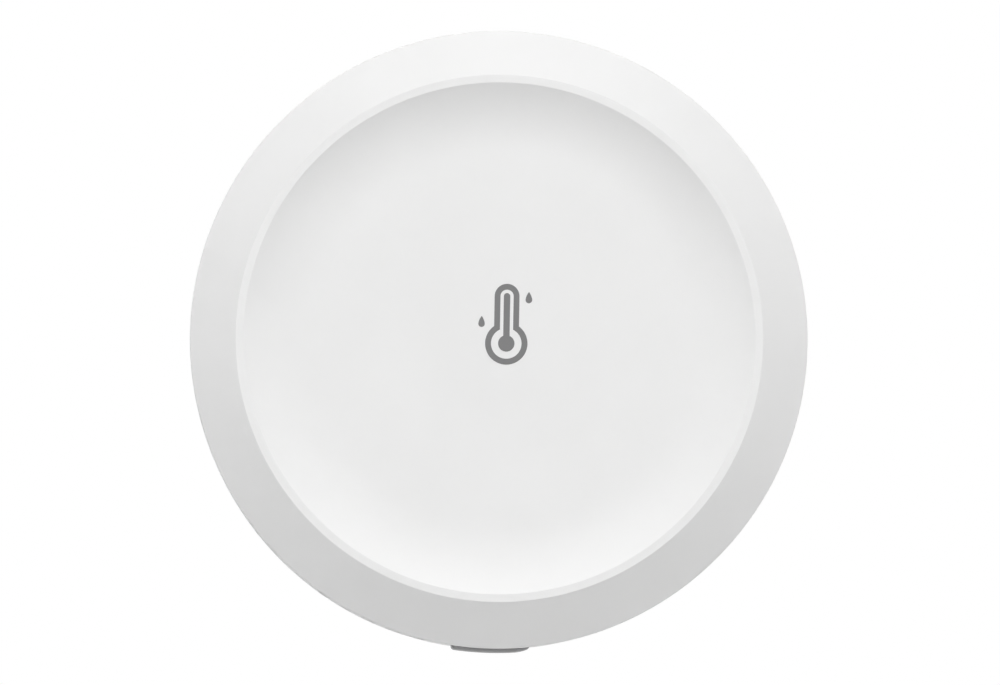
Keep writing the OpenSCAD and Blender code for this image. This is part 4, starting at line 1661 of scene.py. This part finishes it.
@dataclass
class Underside:
    """What is under the board: tracks, lands, solder, the port's membrane and the switch's feet."""

    sensor_angle: float = 246.0
    sensor_r: float = 15.3
    sensor_w: float = 3.0
    sensor_pitch: float = 0.9
    port_r: float = 0.55
    leg: tuple[float, float, float] = (0.5, 0.42, 0.3)
    leg_places: tuple[tuple[float, float, float], ...] = (
        (2.4, -14.4, 0.0), (2.4, -15.5, 0.0), (-2.4, -14.4, 180.0), (-2.4, -15.5, 180.0),
    )
    track: float = 0.3
    test_row: float = 11.2
    test_pitch: float = 1.8
    test_r: float = 0.6
    covered_via: float = 13.0
    contacts: tuple[tuple[float, float, float], ...] = ((-6.0, 0.125, 1.6), (12.675, 0.125, 4.0))

    def tracks(self) -> list[list[Point]]:
        """Draws the tracks under the board.

        Returns:
            Their lines.
        """
        row, pitch = self.test_row, self.test_pitch
        sensor = [(-0.72, -3.25), (0.3, -3.25), (1.15, -2.4), (1.15, -1.9), (0.9, -1.65)]
        return [
            [(2 * pitch, row), (6.3, row), (7.2, 10.3)],
            [(-2 * pitch, row), (-9.0, row)],
            [(-pitch, row), (-pitch, 9.9), (-2.1, 9.6), (-9.4, 9.6), (-10.0, 10.2)],
            [(0.0, row), (0.0, 8.7), (-0.3, 8.4), (-10.4, 8.4), (-11.0, 9.0)],
            [(pitch, row), (pitch, 7.5), (1.5, 7.2), (-11.7, 7.2), (-12.0, 7.5)],
            [(-8.9, -7.3), (-6.0, -4.4), (-6.0, -0.9)],
            [(12.2, -4.5), (12.2, -3.4), (12.67, -2.9), (12.67, -2.1)],
            [(1.8, -12.7), (3.0, -13.9), (3.0, -14.3)],
            [(-2.0, -11.73), (-2.0, -12.4), (-3.0, -13.4), (-3.0, -14.3)],
            [(5.6, -12.05), (6.6, -13.05), (6.9, -13.5)],
            turned_by(sensor, self.sensor_angle, (self.sensor_r, 0.0)),
        ]

    def wiring(self) -> None:
        """Makes the tracks, the lands and the contacts' solder."""
        board, r = STACK.board, self.test_r
        tracks = Piece("under_tracks", TRACE, "main_board")
        tracks.hand_over(tracks.swept(self.tracks(), board - 0.018, self.track, 0.028, 0.3))
        low, high = board - 0.03, board + 0.01
        lands = Piece("under_lands", GOLD, "main_board")
        vias = [place for place in Board().vias() if place[0] != self.covered_via]
        pad = [(0.0, low), (r - 0.03, low), (r, low + 0.01), (r, high), (0.0, high)]
        pads = [(i * self.test_pitch, self.test_row) for i in (-2, -1, 0, 1, 2)]
        lands.hand_over(
            lands.placed(vias, lands.turned(eyelet(high, low), 16)),
            lands.placed(pads, lands.turned(pad, 40)),
        )
        solder = Piece("contact_solder", SOLDER, "main_board")
        solder.hand_over(*(
            solder.placed([(x + half, 0.0, 0.0), (x - half, 0.0, 180.0)], hung_fillet(0.4, 0.35, width))
            for x, half, width in self.contacts
        ))

    def build(self) -> None:
        """Makes the wiring, the port's membrane, the sensor's solder and the switch's feet."""
        self.wiring()
        board, angle, r = STACK.board, self.sensor_angle, self.port_r
        x, y = spot(angle, self.sensor_r)
        membrane = Piece("port_membrane", MEMBRANE, "sensor_chip")
        disc = membrane.turned([
            (0.0, board - 0.98), (r - 0.15, board - 0.95), (r - 0.01, board - 0.88, 0.03),
            (r - 0.01, board - 0.78), (0.0, board - 0.78),
        ], 32, 2)
        membrane.hand_over(membrane.placed([(x, y)], disc))
        solder = Piece("sensor_solder", SOLDER, "sensor_chip")
        row = [(0.0, i * self.sensor_pitch) for i in (-1, 0, 1)]
        feet = [
            (x + right, y + up, turn)
            for turn in (angle + 90.0, angle + 270.0) for right, up in turned_by(row, turn)
        ]
        solder.hand_over(solder.placed(feet, hung_fillet(0.25, 0.3, 0.4, self.sensor_w / 2)))
        length, width, height = self.leg
        bar = soft_box((0.0, -width / 2, board - height), (length, width / 2, board), 0.06)
        legs = Piece("switch_feet", SOLDER, "switch_shell")
        legs.hand_over(legs.placed(self.leg_places, bar, hung_fillet(0.3, 0.25, width, length)))


def chip_parts() -> list[ChipPart]:
    """Lists the small parts on the board, each with its sizes and places.

    Returns:
        The parts.
    """
    return [
        ChipPart(
            "capacitor", "chip_capacitors", [(x, y) for x in CHIP_COLUMNS for y in CHIP_ROWS], CERAMIC
        ),
        ChipPart(
            "resistor", "chip_resistors", [(x, RESISTOR_ROW) for x in RESISTOR_COLUMNS], ALUMINA,
            top=RESISTOR, top_height=0.08, height=0.45, end_height=0.45, edge=0.03,
        ),
        ChipPart(
            "tantalum", "bulk_capacitor", [(8.4, -1.028)], TANTALUM, length=3.42, width=2.8, height=1.6,
            end_length=0.5, end_width=2.2, end_height=0.95, solder_reach=0.45, edge=0.14, band=BAND,
        ),
        ChipPart(
            "crystal", "clock_crystal", [(8.4, 5.572, 90.0)], BLACK, top=TIN, top_height=0.35,
            length=3.2, width=1.5, end_length=0.5, end_width=1.2, end_height=0.3, edge=0.06,
        ),
        ChipPart(
            "light", "status_light", [(*spot(293.0, 15.3), 203.0)], LENS, GOLD, height=0.6,
            end_length=0.3, end_height=0.6, solder_reach=0.2, under=True,
        ),
    ]


def direction(azimuth: float, elevation: float) -> Vector:
    """Returns the direction that is so many degrees to the right of the front and above level."""
    a, e = math.radians(azimuth), math.radians(elevation)
    return Vector((math.sin(a) * math.cos(e), -math.cos(a) * math.cos(e), math.sin(e)))


@dataclass
class Studio:
    """Camera, soft light, white surroundings and a pale floor."""

    lens: float = 1000.0
    sensor: float = 36.0
    distance: float = 1.799
    azimuth: float = -1.0
    elevation: float = -2.1
    roll: float = 1.37
    shift_right: float = 0.07
    shift_up: float = -0.2
    ambient: float = 0.01
    side_light: float = 0.175
    side_azimuth: float = 60.0
    side_height: float = 20.0
    key_light: float = 0.865
    key_height: float = 52.0
    back_light: float = 0.45
    back_height: float = 30.0
    lamp_size: float = 0.7
    lamp_distance: float = 1.2
    floor_height: float = -0.09
    floor_half: float = 2.5

    def camera(self) -> None:
        """Places the camera at the photograph's angle."""
        data = bpy.data.cameras.new("camera")
        data.lens, data.sensor_width = self.lens, self.sensor
        data.clip_start, data.clip_end = 0.1, 20.0
        back, roll = direction(self.azimuth, self.elevation), math.radians(self.roll)
        turn = (-back).to_track_quat("-Z", "Y").to_matrix() @ Matrix.Rotation(roll, 3, "Z")
        aim = Vector((0.0, -STACK.ring * MM, 0.0))
        aim += turn.col[0] * self.shift_right * MM + turn.col[1] * self.shift_up * MM
        camera = linked("camera", data)
        camera.matrix_world = Matrix.Translation(aim + back * self.distance) @ turn.to_4x4()
        bpy.context.scene.camera = camera

    def lamp(self, name: str, level: float, azimuth: float, elevation: float) -> None:
        """Hangs a soft square lamp that looks at the sensor.

        Args:
            name: The lamp's name.
            level: The brightness of a white surface that faces it.
            azimuth: Its angle round the sensor, zero in front.
            elevation: Its angle above the horizon.
        """
        data = bpy.data.lights.new(name, "AREA")
        data.shape, data.size = "SQUARE", self.lamp_size
        data.energy = level * math.pi**2 * self.lamp_distance**2
        back = direction(azimuth, elevation)
        turn = back.to_track_quat("Z", "Y").to_matrix().to_4x4()
        lamp = linked(name, data)
        lamp.matrix_world = Matrix.Translation(back * self.lamp_distance) @ turn
        lamp.visible_camera = False

    def surroundings(self) -> None:
        """Lights the room evenly and shows it as white."""
        world = bpy.data.worlds.new("room")
        world.use_nodes = True
        bpy.context.scene.world = world
        graph = Graph(world.node_tree)
        graph.tree.nodes.clear()
        rays = graph.node("ShaderNodeLightPath").outputs
        seen = rays["Is Camera Ray"]
        for name in ("Is Glossy Ray", "Is Transmission Ray"):
            seen = graph.op("MAXIMUM", seen, rays[name])
        soft, white = (
            graph.out("ShaderNodeBackground", Color=(1.0, 1.0, 1.0, 1.0), Strength=strength)
            for strength in (self.ambient, 1.0)
        )
        mix = graph.out("ShaderNodeMixShader", None, seen, soft, white)
        graph.node("ShaderNodeOutputWorld", Surface=mix)

    def floor(self) -> None:
        """Lays a plain pale floor that can be looked through from below."""
        mesh = bpy.data.meshes.new("floor")
        ends = [(-1, -1), (1, -1), (1, 1), (-1, 1)]
        corners = [(x * self.floor_half, y * self.floor_half, self.floor_height) for x, y in ends]
        mesh.from_pydata(corners, [], [(0, 1, 2, 3)])
        sheet = Sheet("pale floor", (0.8, 0.8, 0.8), 0.8)
        below = sheet.node("ShaderNodeNewGeometry").outputs["Backfacing"]
        clear = sheet.out("ShaderNodeBsdfTransparent")
        mix = sheet.out("ShaderNodeMixShader", None, below, sheet.shader.outputs["BSDF"], clear)
        sheet.feed(sheet.output.inputs["Surface"], mix)
        mesh.materials.append(sheet.material)
        floor = linked("floor", mesh)

    def build(self) -> None:
        """Sets up the whole studio."""
        self.camera()
        self.lamp("key_lamp", self.key_light, 0.0, self.key_height)
        self.lamp("left_lamp", self.side_light, -self.side_azimuth, self.side_height)
        self.lamp("right_lamp", self.side_light, self.side_azimuth, self.side_height)
        self.lamp("back_lamp", self.back_light, 180.0, self.back_height)
        self.surroundings()
        self.floor()
        bpy.context.scene.view_settings.view_transform = "Standard"


def main() -> None:
    """Builds the sensor's pieces and the studio in order."""
    logging.basicConfig(level=logging.INFO, format="%(message)s")
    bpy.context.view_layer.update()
    parts = (
        FaceCover(), FaceSign(), Housing(), WallPlate(), Board(), Module(), *chip_parts(), CoinCell(),
        Underside(), Inside(), Studio(),
    )
    for part in parts:
        part.build()
        log.info("%s built", type(part).__name__)
    bpy.context.view_layer.update()


if __name__ == "__main__":
    main()
